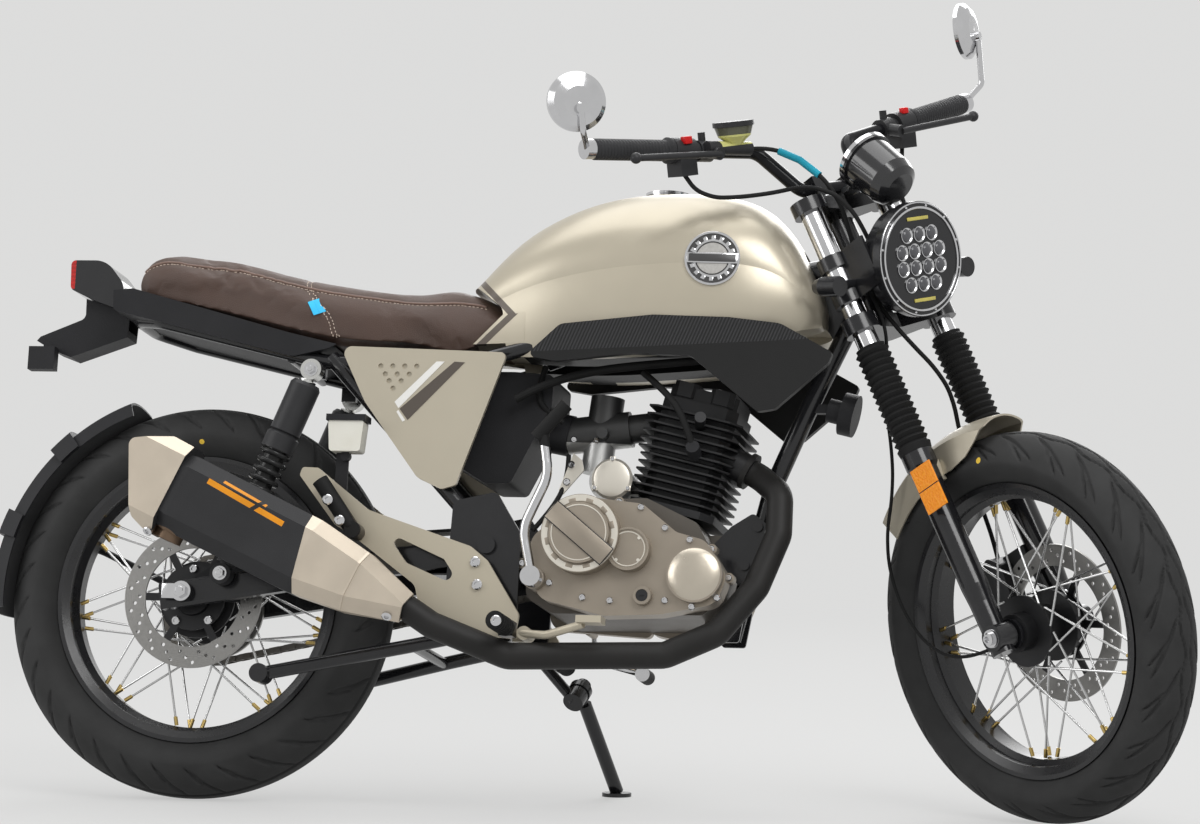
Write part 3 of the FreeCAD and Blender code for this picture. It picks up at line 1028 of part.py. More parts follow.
front_ends = [across(AXLE_X, 0, side * (FORK_HALF_SPREAD + 20.3), side * (FORK_HALF_SPREAD + 24),
    14) for side in (-1, 1)]
spacers = [across(AXLE_X, 0, -FORK_HALF_SPREAD + 20.4, -FRONT_FLANGE_Y - 26.6, 12),
           across(AXLE_X, 0, FRONT_DISC_Y + 7.4, FORK_HALF_SPREAD - 20.4, 12)]
front_axle = fuse([front_axle] + front_ends + spacers)

fender_start, fender_end = 96.5 - RAKE, 148.0 - RAKE
front_guard = fender(Vector(AXLE_X, 0, 0), 337, 273, 60, 3, fender_start, fender_end)
sweep = [(-36, 322), (-50, 298), (-68, 275), (-98, 255), (-100, 200), (60, 200), (60, 330)]
sweep = [(math.cos(RAKE_RAD) * a + math.sin(RAKE_RAD) * b + AXLE_X,
    math.cos(RAKE_RAD) * b - math.sin(RAKE_RAD) * a)
         for a, b in sweep]
front_guard = front_guard.cut(plate(sweep, -90, 90))
stays = [Part.makeBox(24, 9, 34, Vector(LEG_X - 14, 56 if side > 0 else -65, 266)) for side in (-1, 1)]
guard_all = fuse([front_guard] + stays).cut(sliders).cut(fork["fork_gaiters"])
fork["front_mudguard"] = guard_all

front_rows = [(-52, 62), (-18, 70), (-10, 128), (-34, 150), (-62, 128)]
front_caliper = caliper([(x, z, 10) for x, z in front_rows], FRONT_DISC_Y, 17, 1.2, Vector(AXLE_X, 0, 0),
    FRONT_DISC_R)
front_lug = block(-24, 26, FRONT_DISC_Y + 9, FRONT_DISC_Y + 17, 92, 142)
fork["front_caliper"] = fuse([front_caliper, front_lug]).cut(sliders)

# ---------------------------------------------------------------- handlebar and controls
def local(x, y, z):
    """Point of the construction frame in the fork's own frame."""
    return STEERING_FRAME.inverse().multVec(Vector(x, y, z))


bar_end = local(BAR_END.x, -BAR_HALF, BAR_END.z)
bar_half = [bar_end, local(942, -100, 1077), Vector(clamp_x, -66, clamp_s)]
bar_points = bar_half + [Vector(p.x, -p.y, p.z) for p in reversed(bar_half)]
handlebar = tube(bar_points, BAR_R, [0, 26, 24, 24, 26, 0])
grips, controls, mirrors = [], [], []
grip_axis = (bar_half[0] - bar_half[1]).normalize()
WORLD_UP = STEERING_FRAME.inverse().Rotation.multVec(Z)
AHEAD = STEERING_FRAME.inverse().Rotation.multVec(X)
for side in (-1, 1):
    end = Vector(bar_end.x, side * BAR_HALF, bar_end.z)
    inward = Vector(-grip_axis.x, -grip_axis.y if side < 0 else grip_axis.y, -grip_axis.z)
    rows = [(BAR_R + SEAT_GAP, 0), (GRIP_R - 1, 0), (GRIP_R, 5), (GRIP_R, GRIP_L - 10),
        (GRIP_R + 4, GRIP_L - 6),
            (GRIP_R + 4, GRIP_L), (BAR_R + SEAT_GAP, GRIP_L)]
    grips.append(lathe(rows, end, inward))
    switch_at = end + inward * (GRIP_L + 21)
    switch = cylinder(switch_at - inward * 20, switch_at + inward * 20, 21)
    switch_low = Part.makeBox(34, 34, 40, Vector(-17, -17, -40))
    switch_low.Placement = Placement(switch_at, Rotation(AHEAD, Y * side, WORLD_UP, "ZXY"))
    clamp_at = end + inward * (GRIP_L + 64)
    lever_clamp = cylinder(clamp_at - inward * 13, clamp_at + inward * 13, 17)
    hinge = clamp_at + AHEAD * 40 - WORLD_UP * 6
    arm = cylinder(clamp_at, hinge, 10)
    tip = end + inward * 36 + AHEAD * 56 - WORLD_UP * 16
    knuckle = end + inward * (GRIP_L + 8) + AHEAD * 46 - WORLD_UP * 9
    blade = tube([hinge, knuckle, tip], 5.5, 120)
    ball = Part.makeSphere(9, tip)
    perch = cylinder(clamp_at + WORLD_UP * 8, clamp_at + WORLD_UP * 30, 6)
    bridge = cylinder(switch_at, clamp_at, 14)
    pieces = [switch, switch_low, bridge, lever_clamp, arm, blade, ball, perch]
    if side < 0:
        barrel_at = clamp_at + AHEAD * 24 + WORLD_UP * 4
        pump = cylinder(barrel_at - inward * 12, barrel_at + inward * 72, 11)
        jar_at = barrel_at + inward * 44 + WORLD_UP * 13
        fluid_jar = lathe([(0, -8), (10, -8), (18, 0), (26, 6), (31, 22), (33, 22), (33, 30), (0, 30)],
            jar_at, WORLD_UP)
        pieces += [pump, fluid_jar]
    controls.append(fuse(pieces).cut(handlebar))
    if side < 0:
        pump_end = barrel_at + inward * 72

HEAD_R = 47.0
for side in (-1, 1):
    end = Vector(bar_end.x, side * BAR_HALF, bar_end.z)
    outer = Vector(grip_axis.x, grip_axis.y if side < 0 else -grip_axis.y, grip_axis.z)
    plug = cylinder(end + outer * 0.3, end + outer * 15, 16)
    middle = local(906, side * 436, 1188 if side < 0 else 1232)
    facing = STEERING_FRAME.inverse().Rotation.multVec(Vector(0.9, side * 0.42, 0.06)).normalize()
    hub_at = middle + facing * 22 - WORLD_UP * 12
    knee = end + outer * 22 + (facing * 26 + WORLD_UP * 26)
    stalk = tube([end + outer * 9, knee, hub_at], 5, 14)
    shell = lathe([(0, -4), (HEAD_R, -4), (HEAD_R, 3), (HEAD_R - 8, 11), (24, 16), (0, 17)], middle, facing)
    boss = cylinder(middle + facing * 12 - WORLD_UP * 12, hub_at + facing * 4, 8)
    mirrors.append(fuse([plug, stalk, shell, boss]))
fork["handlebar"] = Part.makeCompound([handlebar] + grips)
fork["hand_controls"] = Part.makeCompound(controls)
fork["mirrors"] = Part.makeCompound(mirrors)

DIAL, DIAL_TILT = Vector(1081, 0, 1051), 34.0
dial = local(DIAL.x, 0, DIAL.z)
dial_dir = STEERING_FRAME.inverse().Rotation.multVec(
    Vector(-math.cos(math.radians(DIAL_TILT)), 0, math.sin(math.radians(DIAL_TILT))))
can = lathe([(0, -90), (26, -90), (37, -82), (42, -66), (44, -10), (48, -10), (48, 2), (44, 2), (44, -2),
    (0, -2)],
            dial, dial_dir)
dial_arm = cylinder(dial - dial_dir * 44, Vector(66, 0, UPPER_YOKE_S + 18), 9)
dial_foot = Part.makeBox(46, 30, 9, Vector(26, -15, UPPER_YOKE_S + 11.2))
fork["instrument"] = fuse([can, dial_arm, dial_foot]).cut(Part.makeCompound([fork["fork_yokes"],
    handlebar]))

lamp_at = local(HEADLIGHT.x, 0, HEADLIGHT.z)
lamp_dir = STEERING_FRAME.inverse().Rotation.multVec(X)
shell_rows = [(0, 0), (HEADLIGHT_R, 0), (HEADLIGHT_R, -14), (HEADLIGHT_R - 4, -18), (HEADLIGHT_R - 7, -38),
    (66, -62), (36, -76), (0, -79)]
hollow_rows = [(0, -8), (HEADLIGHT_R - 9, -8), (HEADLIGHT_R - 11, -35), (62, -58), (33, -71), (0, -73)]
shell = lathe(shell_rows, lamp_at, lamp_dir).cut(lathe(hollow_rows, lamp_at, lamp_dir))
fork["headlight"] = shell
stanchion_holes = Part.makeCompound([bar_s(LEG_X, side * FORK_HALF_SPREAD, 0, 900,
    STANCHION_R + 0.05) for side in (-1, 1)])
brackets = []
for side in (-1, 1):
    y = side * FORK_HALF_SPREAD
    rings = [bar_s(LEG_X, y, s0, s0 + 22, STANCHION_R + 7) for s0 in (580, 640)]
    wing = Part.makeBox(62, 5, 82, Vector(LEG_X + 18, y - 2.5, 580))
    bolt = across(lamp_at.x - 22, lamp_at.z, side * 70, y + side * 6, 7)
    stalk_start = Vector(LEG_X + 26, y, 606)
    lamp = indicator(stalk_start, stalk_start + Y * (side * 58), 52, 16, lamp_dir)
    bracket = fuse(rings + [wing, bolt, lamp]).cut(stanchion_holes)
    brackets.append(bracket.cut(lathe(shell_rows, lamp_at, lamp_dir)))
fork["headlight_bracket"] = Part.makeCompound(brackets)

reflectors = []
for side in (-1, 1):
    reflectors.append(Part.makeBox(46, 4, 74, Vector(LEG_X + 8, side * 122 - 2, 214)))
    reflectors.append(Part.makeBox(10, 16, 30, Vector(LEG_X + 9, min(side * 104, side * 120), 236)))
reflectors = [fuse(reflectors[:2]).cut(sliders), fuse(reflectors[2:]).cut(sliders)]
# ---------------------------------------------------------------- hose and cables, in the fork's own frame
HOSE_R, SPEEDO_R, LOOM_R = 3.5, 2.75, 3.5
# from the pump, behind the lamp, between the legs and down behind the left leg: forward, left, up
hose_route = [pump_end] + [Vector(*row) for row in (
    (24, -104, 868), (44, -84, 846), (62, -72, 812), (76, -64, 772), (76, -57, 730), (61, -49, 690), (44,
    -43, 650),
    (42, -40, 612), (48, -42, 578), (56, -42, 546), (61, -34, 514), (60, -16, 482), (55, 9, 450), (44, 32,
    416), (26, 47, 386),
    (4, 59, 358), (-12, 70, 328), (-22, 76, 294), (-28, 74, 259), (-30, 69, 224), (-29, 64, 185), (-33, 60,
    147))]
# from the drive on the wheel's right, in a loop behind the leg, up past the lower yoke and into the lamp
speedo_route = [Vector(*row) for row in (
    (12, -61, -4), (-24, -65, -1), (-62, -69, 8), (-98, -71, 28), (-126, -73, 66), (-139, -73, 112), (-140,
    -72, 160),
    (-129, -71, 206), (-104, -71, 248), (-70, -70, 284), (-44, -68, 322), (-29, -62, 364), (-20, -54, 408),
    (-10, -46, 448), (10, -46, 476), (37, -52, 498), (58, -59, 525), (61, -59, 560), (53, -53, 591), (53,
    -45, 619),
    (61, -34, 641), (72, -24, 654))]
# from each switch housing, under the bar, over the fork cap and into the lamp
loom_route = [(-31, 244, 866), (-35, 231, 838), (-28, 205, 818), (-16, 172, 809), (-4, 140, 803),
    (12, 112, 797),
              (36, 94, 790), (62, 79, 775), (88, 67, 745), (95, 57, 708), (89, 46, 677), (80, 36, 653)]
drive_at = Vector(AXLE_X - 22, -61.2, -3)
speedo_drive = fuse([across(AXLE_X, 0, -64.4, -FRONT_FLANGE_Y - 26.6, 24),
    cylinder(drive_at, drive_at - X * 14, 3.4)])
fork["speedometer_cable"] = cord("speedometer_cable", speedo_route,
    SPEEDO_R).cut(speedo_drive).cut(fork["headlight"])
fork["fork_sliders"] = Part.makeCompound([sliders, fuse([front_axle, speedo_drive])] + reflectors)
hose = cord("front_brake_hose", hose_route, HOSE_R)
fork["front_brake_hose"] = hose.cut(fork["hand_controls"]).cut(fork["front_caliper"])
looms = [cord("switch_looms", [Vector(x, side * y, z) for x, y, z in loom_route], LOOM_R) for side in (-1,
    1)]
fork["switch_looms"] = Part.makeCompound([loom.cut(fork["hand_controls"]).cut(
    fork["headlight"]) for loom in looms])
fork = {name: in_steering_frame(shape) for name, shape in fork.items()}

# ---------------------------------------------------------------- write the files
bodies = [(chassis, None), (rear_wheel, None), (side_stand, None), (centre_stand, None), (fork, AT_STOP),
    (front_wheel, AT_STOP)]
placed = {}
for body_nodes, turn in bodies:
    for name, shape in body_nodes.items():
        moved = shape.copy()
        if turn is not None:
            moved.Placement = turn.multiply(moved.Placement)
        moved.Placement = SET_DOWN.multiply(moved.Placement)
        placed[name] = moved
box = FreeCAD.BoundBox()
for shape in placed.values():
    box.add(shape.optimalBoundingBox(False))
SHIFT = Vector(-(box.XMin + box.XMax) / 2, -(box.YMin + box.YMax) / 2, -box.ZMin)
os.makedirs("parts", exist_ok=True)
for name, shape in placed.items():
    shape.translate(SHIFT)
    solids = shape.Solids
    out = solids[0] if len(solids) == 1 else Part.makeCompound(solids)
    out.exportStep("parts/" + name + ".step")
    print(name, len(solids), "valid" if out.isValid() else "BAD", round(out.Volume / 1000.0, 1))


def row_point(point, turn=None):
    point = turn.multVec(point) if turn else point
    return [round(c, 3) for c in SET_DOWN.multVec(point) + SHIFT]


def row_dir(direction, turn=None):
    direction = turn.Rotation.multVec(direction) if turn else direction
    return [round(c, 6) for c in SET_DOWN.Rotation.multVec(direction)]


print("matrix", list(SET_DOWN.Matrix.A))
print("box", [round(v, 2) for v in (box.XLength, box.YLength, box.ZLength)], "shift",
    [round(v, 3) for v in SHIFT])
print("rear axle", row_point(REAR_AXLE), row_dir(Y))
print("front axle", row_point(FRONT_AXLE, AT_STOP), row_dir(Y, AT_STOP))
print("steering", row_point(on_steering_axis(UPPER_YOKE_S)), row_dir(STEER_UP))
print("side stand", row_point(SIDE_STAND_PIVOT), row_dir(SIDE_STAND_AXIS), round(SIDE_STAND_TURN, 2))
print("centre stand", row_point(CENTRE_STAND_PIVOT), row_dir(-Y), CENTRE_STAND_TURN)
bobbin_left = Vector(BOBBIN_AT.x, -BOBBIN_AT.y, BOBBIN_AT.z)
print("bobbin right", row_point(BOBBIN_AT + Y * (BOBBIN_DEPTH / 2)), row_dir(-Y))
print("bobbin left", row_point(bobbin_left - Y * (BOBBIN_DEPTH / 2)), row_dir(Y))
print("outlet", row_point((OUTLET_IN + OUTLET_OUT) * 0.5), row_dir(outlet_dir))
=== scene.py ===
import json
import math
import bmesh
import bpy
from mathutils import Matrix, Vector, kdtree


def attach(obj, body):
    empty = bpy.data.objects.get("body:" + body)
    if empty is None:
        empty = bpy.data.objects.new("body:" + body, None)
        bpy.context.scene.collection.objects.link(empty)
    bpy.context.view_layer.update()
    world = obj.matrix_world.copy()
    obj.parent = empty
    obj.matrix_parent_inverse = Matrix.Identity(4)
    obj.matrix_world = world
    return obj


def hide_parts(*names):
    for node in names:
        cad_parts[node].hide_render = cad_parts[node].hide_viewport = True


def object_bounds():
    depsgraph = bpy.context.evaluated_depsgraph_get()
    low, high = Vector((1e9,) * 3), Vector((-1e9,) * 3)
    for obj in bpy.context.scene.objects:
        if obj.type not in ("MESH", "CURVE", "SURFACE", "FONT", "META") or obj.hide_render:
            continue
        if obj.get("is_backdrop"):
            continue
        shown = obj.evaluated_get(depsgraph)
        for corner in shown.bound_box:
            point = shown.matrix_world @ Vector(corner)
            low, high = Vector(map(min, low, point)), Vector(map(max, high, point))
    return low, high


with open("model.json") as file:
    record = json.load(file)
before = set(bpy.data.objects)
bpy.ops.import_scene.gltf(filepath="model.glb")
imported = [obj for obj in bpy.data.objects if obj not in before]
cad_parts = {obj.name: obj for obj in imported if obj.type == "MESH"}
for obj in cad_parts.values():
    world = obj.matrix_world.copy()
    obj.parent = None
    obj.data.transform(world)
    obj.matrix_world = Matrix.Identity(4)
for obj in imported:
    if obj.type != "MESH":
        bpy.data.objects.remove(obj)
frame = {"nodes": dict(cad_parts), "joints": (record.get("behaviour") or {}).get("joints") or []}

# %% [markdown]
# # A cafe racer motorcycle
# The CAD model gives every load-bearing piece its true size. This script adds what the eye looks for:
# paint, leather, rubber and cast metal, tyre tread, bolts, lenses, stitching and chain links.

cad_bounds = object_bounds()
nodes = frame["nodes"]
joints = {joint["name"]: joint for joint in frame["joints"]}
print("pieces from the CAD:", len(nodes))

# %% [markdown]
# ## Two drawing boards
# A motorcycle is drawn upright, in millimetres, from the rear wheel's contact point. This one leans on its
# side stand with its fork at the stop, so each drawing board is a matrix that lays such a drawing onto the
# machine as it stands. Both come from the joints, which know where the axles and the steering head are.

# %% The boards: BIKE for the frame, TURNED for what steers, FORK along the fork legs
RAKE = math.radians(25.55)
REAR_R, FRONT_R, WHEELBASE, OFFSET = 317.0, 307.0, 1366.0, 43.5


def board(origin, forward, left, up):
    """Matrix that lays a drawing in millimetres onto the machine."""
    matrix = Matrix((forward, left, up)).transposed().to_4x4()
    matrix.translation = origin
    return matrix @ Matrix.Scale(0.001, 4)


def joint_line(name):
    return Vector(joints[name]["pos_m"]), Vector(joints[name]["axis"]).normalized()


rear_axle, left = joint_line("rear_wheel_spin")
front_axle, fork_left = joint_line("front_wheel_spin")
steer_up = joint_line("steering")[1]
leading = left.cross(steer_up)
forward = leading * math.cos(RAKE) - steer_up * math.sin(RAKE)
up = leading * math.sin(RAKE) + steer_up * math.cos(RAKE)
BIKE = board(rear_axle - up * REAR_R / 1000, forward, left, up)
fork_forward = fork_left.cross(steer_up)
FORK = board(front_axle - fork_forward * OFFSET / 1000, fork_forward, fork_left, steer_up)
steer_foot = Vector((WHEELBASE - OFFSET * math.cos(RAKE), 0, FRONT_R - OFFSET * math.sin(RAKE)))
raked = Matrix.Translation(steer_foot) @ Matrix.Rotation(-RAKE, 4, "Y")
TURNED = FORK @ raked.inverted()
print("lean in degrees:", round(math.degrees(math.asin(left.z)), 1))

# %% [markdown]
# ## Shader sums
# A procedural finish is arithmetic on coordinates and noise. Wrapping a socket in a small class lets that
# arithmetic be written as ordinary sums, and one method makes every other node.

# %% Sockets that add, and a finish that builds its own nodes
class Term:
    """A socket in a sum: each operator adds its Math node."""

    def __init__(self, finish, socket):
        self.finish, self.socket = finish, socket

    def math(self, operation, *others):
        return self.finish.math(operation, self, *others)

    def __add__(self, other): return self.math("ADD", other)
    def __radd__(self, other): return self.finish.math("ADD", other, self)
    def __sub__(self, other): return self.math("SUBTRACT", other)
    def __rsub__(self, other): return self.finish.math("SUBTRACT", other, self)
    def __mul__(self, other): return self.math("MULTIPLY", other)
    def __rmul__(self, other): return self.finish.math("MULTIPLY", other, self)
    def __truediv__(self, other): return self.math("DIVIDE", other)
    def __gt__(self, other): return self.math("GREATER_THAN", other)
    def __lt__(self, other): return self.math("LESS_THAN", other)
    def __abs__(self): return self.math("ABSOLUTE")


class Nodes:
    """A node tree that is built from terms."""

    def __init__(self, owner):
        owner.use_nodes = True
        self.tree = owner.node_tree

    def node(self, kind, settings=(), values=()):
        """Any node: its settings first, then the values or links of its sockets, by name or number."""
        made = self.tree.nodes.new("ShaderNode" + kind)
        for key, value in dict(settings).items():
            setattr(made, key, value)
        for key, value in dict(values).items():
            self.feed(made, key, value)
        return made

    def feed(self, target, key, value):
        """Links a term or a socket to an input, or gives the input a plain value."""
        socket = value.socket if isinstance(value, Term) else value
        if isinstance(socket, bpy.types.NodeSocket):
            self.tree.links.new(socket, target.inputs[key])
        else:
            target.inputs[key].default_value = socket

    def math(self, operation, *values):
        made = self.node("Math", {"operation": operation}, dict(enumerate(values)))
        return Term(self, made.outputs[0])

    def looked_at(self):
        """1 for the rays that come from the camera, straight or by way of a mirror or glass."""
        rays = self.node("LightPath").outputs
        kinds = ("Camera", "Glossy", "Transmission")
        straight, glossy, through = (Term(self, rays[f"Is {kind} Ray"]) for kind in kinds)
        return straight + glossy + through

    def blend(self, share, low, high, output):
        """Shows shader low where share is 0 and shader high where it is 1."""
        mixed = self.node("MixShader", {}, {0: share, 1: low.outputs[0], 2: high.outputs[0]})
        self.feed(self.tree.nodes[output], "Surface", mixed.outputs[0])


class Finish(Nodes):
    """A material that is built from terms."""

    def __init__(self, name, **fixed):
        self.material = bpy.data.materials.new(name)
        super().__init__(self.material)
        self.shader = self.tree.nodes["Principled BSDF"]
        for socket, value in fixed.items():
            self.shader.inputs[socket.replace("_", " ")].default_value = value
        self.place = self.node("TexCoord").outputs["Object"]

    def mix(self, share, a, b):
        """Colour a where share is 0 and b where it is 1."""
        made = self.node("Mix", {"data_type": "RGBA"}, {0: share, 6: a, 7: b})
        return made.outputs[2]

    def noise(self, scale, detail=3.0, stretch=(1, 1, 1)):
        moved = self.node("Mapping", {}, {"Vector": self.place, "Scale": stretch}).outputs[0]
        made = self.node("TexNoise", {}, {"Vector": moved, "Scale": scale, "Detail": detail})
        return Term(self, made.outputs["Fac"])

    def cells(self, scale, feature="F1"):
        made = self.node("TexVoronoi", {"feature": feature}, {"Vector": self.place, "Scale": scale})
        return Term(self, made.outputs["Distance"])

    def vector(self, operation, *values):
        """Output sockets of a Vector Math node."""
        return self.node("VectorMath", {"operation": operation}, dict(enumerate(values))).outputs

    def along(self, origin, direction):
        """Distance in millimetres along a direction from a point of the machine."""
        moved = self.vector("SUBTRACT", self.place, origin)[0]
        return Term(self, self.vector("DOT_PRODUCT", moved, direction.normalized() * 1000)["Value"])

    def reach(self, origin):
        """Distance in millimetres from a point of the machine."""
        return Term(self, self.vector("DISTANCE", self.place, origin)["Value"]) * 1000

    def around(self, origin, axis):
        """Distance in millimetres from an axis."""
        moved = self.vector("SUBTRACT", self.place, origin)[0]
        cross = self.vector("CROSS_PRODUCT", moved, axis.normalized() * 1000)[0]
        return Term(self, self.vector("LENGTH", cross)["Value"])

    def surface(self, skin):
        """Wires a skin, which is its colour, roughness, metal and height in millimetres, to the shader."""
        for key, value in zip(("Base Color", "Roughness", "Metallic"), skin):
            self.feed(self.shader, key, value)
        bump = self.node("Bump", {}, {"Height": skin[3], "Distance": 0.001})
        self.feed(self.shader, "Normal", bump.outputs[0])
        return self.material

    def choose(self, share, low, high):
        """Skin low where share is 0 and skin high where it is 1."""
        colour = self.mix(share, low[0], high[0])
        return [colour] + [share * (b - a) + a for a, b in zip(low[1:], high[1:])]


# %% [markdown]
# ## Skins
# A skin is the look of one stuff: its colour, roughness, metalness and the height of its grain. Keeping them
# as functions lets one CAD piece carry two skins with a sharp line between them, as a painted cover on a
# rubber foot does.

# %% Paint, plastic and rubber
def shade(colour, factor):
    return tuple(channel * factor for channel in colour[:3]) + (1,)


def painted(finish, colour, rough=0.34, metal=0.45, flake=0.03):
    """Satin metallic paint: slow drift in tone, fine flake and a faint orange peel."""
    drift = finish.noise(9, 2)
    tone = finish.mix(drift, shade(colour, 0.94), shade(colour, 1.06))
    peel = finish.noise(900, 1) * flake
    return [tone, finish.noise(60, 4) * 0.08 + (rough - 0.04), metal, peel]


def moulded(finish, colour=(0.010, 0.010, 0.011, 1), rough=0.5):
    """Grained black plastic, a little grey where hands and dust rub it."""
    finish.shader.inputs["Specular IOR Level"].default_value = 0.2
    rub = finish.noise(14, 4)
    tone = finish.mix(rub, colour, shade(colour, 1.9))
    return [tone, rub * 0.16 + (rough - 0.08), 0.0, finish.cells(900) * 0.12]


def rubbery(finish, colour=(0.008, 0.008, 0.008, 1), rough=0.66):
    """Soft rubber with a dusty bloom."""
    finish.shader.inputs["Specular IOR Level"].default_value = 0.14
    bloom = finish.noise(22, 5)
    tone = finish.mix(bloom, colour, shade(colour, 2.2))
    return [tone, bloom * 0.2 + (rough - 0.1), 0.0, finish.noise(1400, 2) * 0.08]


# %% Metals
def enamelled(finish, colour=(0.008, 0.008, 0.009, 1), rough=0.2):
    """Black enamel on steel tube."""
    wave = finish.noise(40, 2)
    tone = finish.mix(wave, colour, shade(colour, 1.6))
    return [tone, wave * 0.1 + (rough - 0.05), 0.0, finish.noise(260, 1) * 0.04]


def plated(finish, colour=(0.62, 0.62, 0.63, 1), rough=0.08):
    """Chrome plate, with the faintest haze."""
    haze = finish.noise(35, 5)
    tone = finish.mix(haze, shade(colour, 0.93), shade(colour, 1.05))
    return [tone, haze * 0.1 + rough, 1.0, haze * 0.01]


def cast(finish, colour, rough=0.42, metal=0.8):
    """Sand-cast alloy under a satin coat: fine pits and drifting tone."""
    drift = finish.noise(18, 4)
    tone = finish.mix(drift, shade(colour, 0.86), shade(colour, 1.1))
    return [tone, drift * 0.16 + (rough - 0.08), metal, finish.noise(1100, 3) * 0.12]


def brushed(finish, colour=(0.48, 0.48, 0.47, 1), rough=0.3):
    """Turned or brushed steel."""
    lines = finish.noise(300, 3, (1, 0.15, 1))
    tone = finish.mix(lines, shade(colour, 0.85), shade(colour, 1.1))
    return [tone, lines * 0.2 + (rough - 0.08), 1.0, lines * 0.03]


CHAMPAGNE = (0.47, 0.425, 0.335, 1)
BRONZE = (0.31, 0.27, 0.22, 1)
ALLOY = (0.47, 0.47, 0.46, 1)


# %% One-skin finishes
def single(name, skin, *values, **fixed):
    finish = Finish(name, **fixed)
    return finish.surface(skin(finish, *values))


champagne = single("champagne paint", painted, CHAMPAGNE, Coat_Weight=0.25, Coat_Roughness=0.3)
black_enamel = single("black enamel", enamelled)
black_plastic = single("black plastic", moulded)
black_rubber = single("black rubber", rubbery)
black_metal = single("satin black metal", cast, (0.02, 0.02, 0.021, 1), 0.4, 0.3)
fin_black = single("black fins", cast, (0.013, 0.013, 0.014, 1), 0.5, 0.3)
bronze = single("bronze casting", cast, BRONZE, 0.4, 0.75)
alloy = single("bare casting", cast, ALLOY, 0.4, 0.85)
chrome = single("chrome", plated)
steel = single("brushed steel", brushed)
print("materials so far:", len(bpy.data.materials))

# %% [markdown]
# ## Finishes for the CAD pieces
# Most CAD pieces wear one finish. A few are several stuffs in one piece: a silencer has a painted can and
# bronze caps, a hub carries a ground steel disc. There a mask in the shader, measured from an axle or a
# plane in millimetres, puts the border where the real parts meet.

# %% Masks
def spot(where, *xyz):
    """Millimetres on a board, as a point of the machine."""
    return where @ Vector(xyz)


def way(where, *xyz):
    """A direction on a board, as a direction of the machine."""
    return (where.to_3x3() @ Vector(xyz)).normalized()


def band(term, low, high):
    """1 where a term lies between two values."""
    return (term > low) * (term < high)


FOOT, STEM = spot(BIKE, 0, 0, 0), spot(FORK, 0, 0, 0)


def leftward(finish):
    """Distance from the machine's middle plane, less than 0 on the right."""
    return finish.along(FOOT, left)


def upward(finish):
    """Height on the upright machine."""
    return finish.along(FOOT, up)


def slope(finish, x, z, forward, rise):
    """Distance from a line of the side view: a spot on it, and the direction that the distance grows in."""
    return finish.along(spot(BIKE, x, 0, z), way(BIKE, forward, 0, rise))


def either(a, b):
    """1 where one of two masks is 1."""
    return a.math("MAXIMUM", b)


# %% Silencer: black can between a bronze end cap and a bronze shield
def silencer_finish():
    finish = Finish("silencer")
    can = moulded(finish, (0.017, 0.017, 0.018, 1), 0.55)
    cap = cast(finish, (0.56, 0.49, 0.40, 1), 0.38, 0.6)
    rear = slope(finish, 46, 526, -0.91, 0.414)
    front = slope(finish, 240, 406, 0.978, -0.208)
    stripe = slope(finish, 70, 474, 0.467, 0.884)
    run = slope(finish, 70, 474, 0.884, -0.467)
    orange = moulded(finish, (0.50, 0.19, 0.012, 1), 0.42)
    bars = band(stripe, -4.5, 4.5) * band(run, 8, 150) + band(stripe, 9, 13.5) * band(run, 30, 112)
    bars = bars * (leftward(finish) < -262) * (abs(run - stripe * 0.6 - 96) > 4)
    can = finish.choose(bars, can, orange)
    skin = finish.choose(either(rear > 0, front > 0), can, cap)
    spout = finish.reach(spot(BIKE, 4, -228, 386)) < 31
    return finish.surface(finish.choose(spout, skin, cast(finish, (0.16, 0.11, 0.075, 1), 0.35)))


def hub_finish(name, axle, axis, side, inner):
    """Black hub and carrier, with a disc and sprocket of ground steel from an inner radius outwards."""
    finish = Finish(name)
    black = cast(finish, (0.014, 0.014, 0.015, 1), 0.4, 0.4)
    ground = brushed(finish, (0.27, 0.265, 0.255, 1), 0.36)
    lines = finish.around(axle, axis).math("MULTIPLY", 2.2).math("SINE")
    ground[3] = lines * 0.06 + ground[3]
    disc = (finish.around(axle, axis) > inner) * (finish.along(axle, axis * side) > 40)
    chainring = finish.along(axle, axis * -side) > 71
    return finish.surface(finish.choose(either(disc, chainring), black, ground))




def spoke_finish(name, axle, axis):
    """Stainless spokes in brass nipples."""
    finish = Finish(name)
    nipple = finish.around(axle, axis) > 189
    stainless, brass = plated(finish, (0.6, 0.6, 0.6, 1), 0.16), plated(finish, (0.52, 0.38, 0.14, 1), 0.25)
    return finish.surface(finish.choose(nipple, stainless, brass))


# %% Footrests, levers and the rear brake with its jar
def footrest_finish():
    finish = Finish("footrest")
    out = abs(leftward(finish))
    forged = cast(finish, (0.07, 0.062, 0.055, 1), 0.35)
    skin = finish.choose(out > 152.6, painted(finish, CHAMPAGNE, 0.4), forged)
    return finish.surface(finish.choose(out > 181, skin, rubbery(finish)))


def lever_finish():
    finish = Finish("foot levers")
    out, high = leftward(finish), upward(finish)
    skin = finish.choose(either(high > 292, out > 0), painted(finish, CHAMPAGNE, 0.4), plated(finish))
    sleeves = either(finish.reach(spot(BIKE, 601, -184, 589)) < 42, out > 176)
    return finish.surface(finish.choose(sleeves, skin, rubbery(finish)))


def brake_finish():
    finish = Finish("rear brake")
    out, high = leftward(finish), upward(finish)
    jar = (out < -128) * band(high, 541, 590)
    milky = [finish.mix(finish.noise(20), (0.62, 0.6, 0.52, 1), (0.75, 0.74, 0.68, 1)), 0.35, 0.0, 0.0]
    return finish.surface(finish.choose(jar, moulded(finish, rough=0.4), milky))


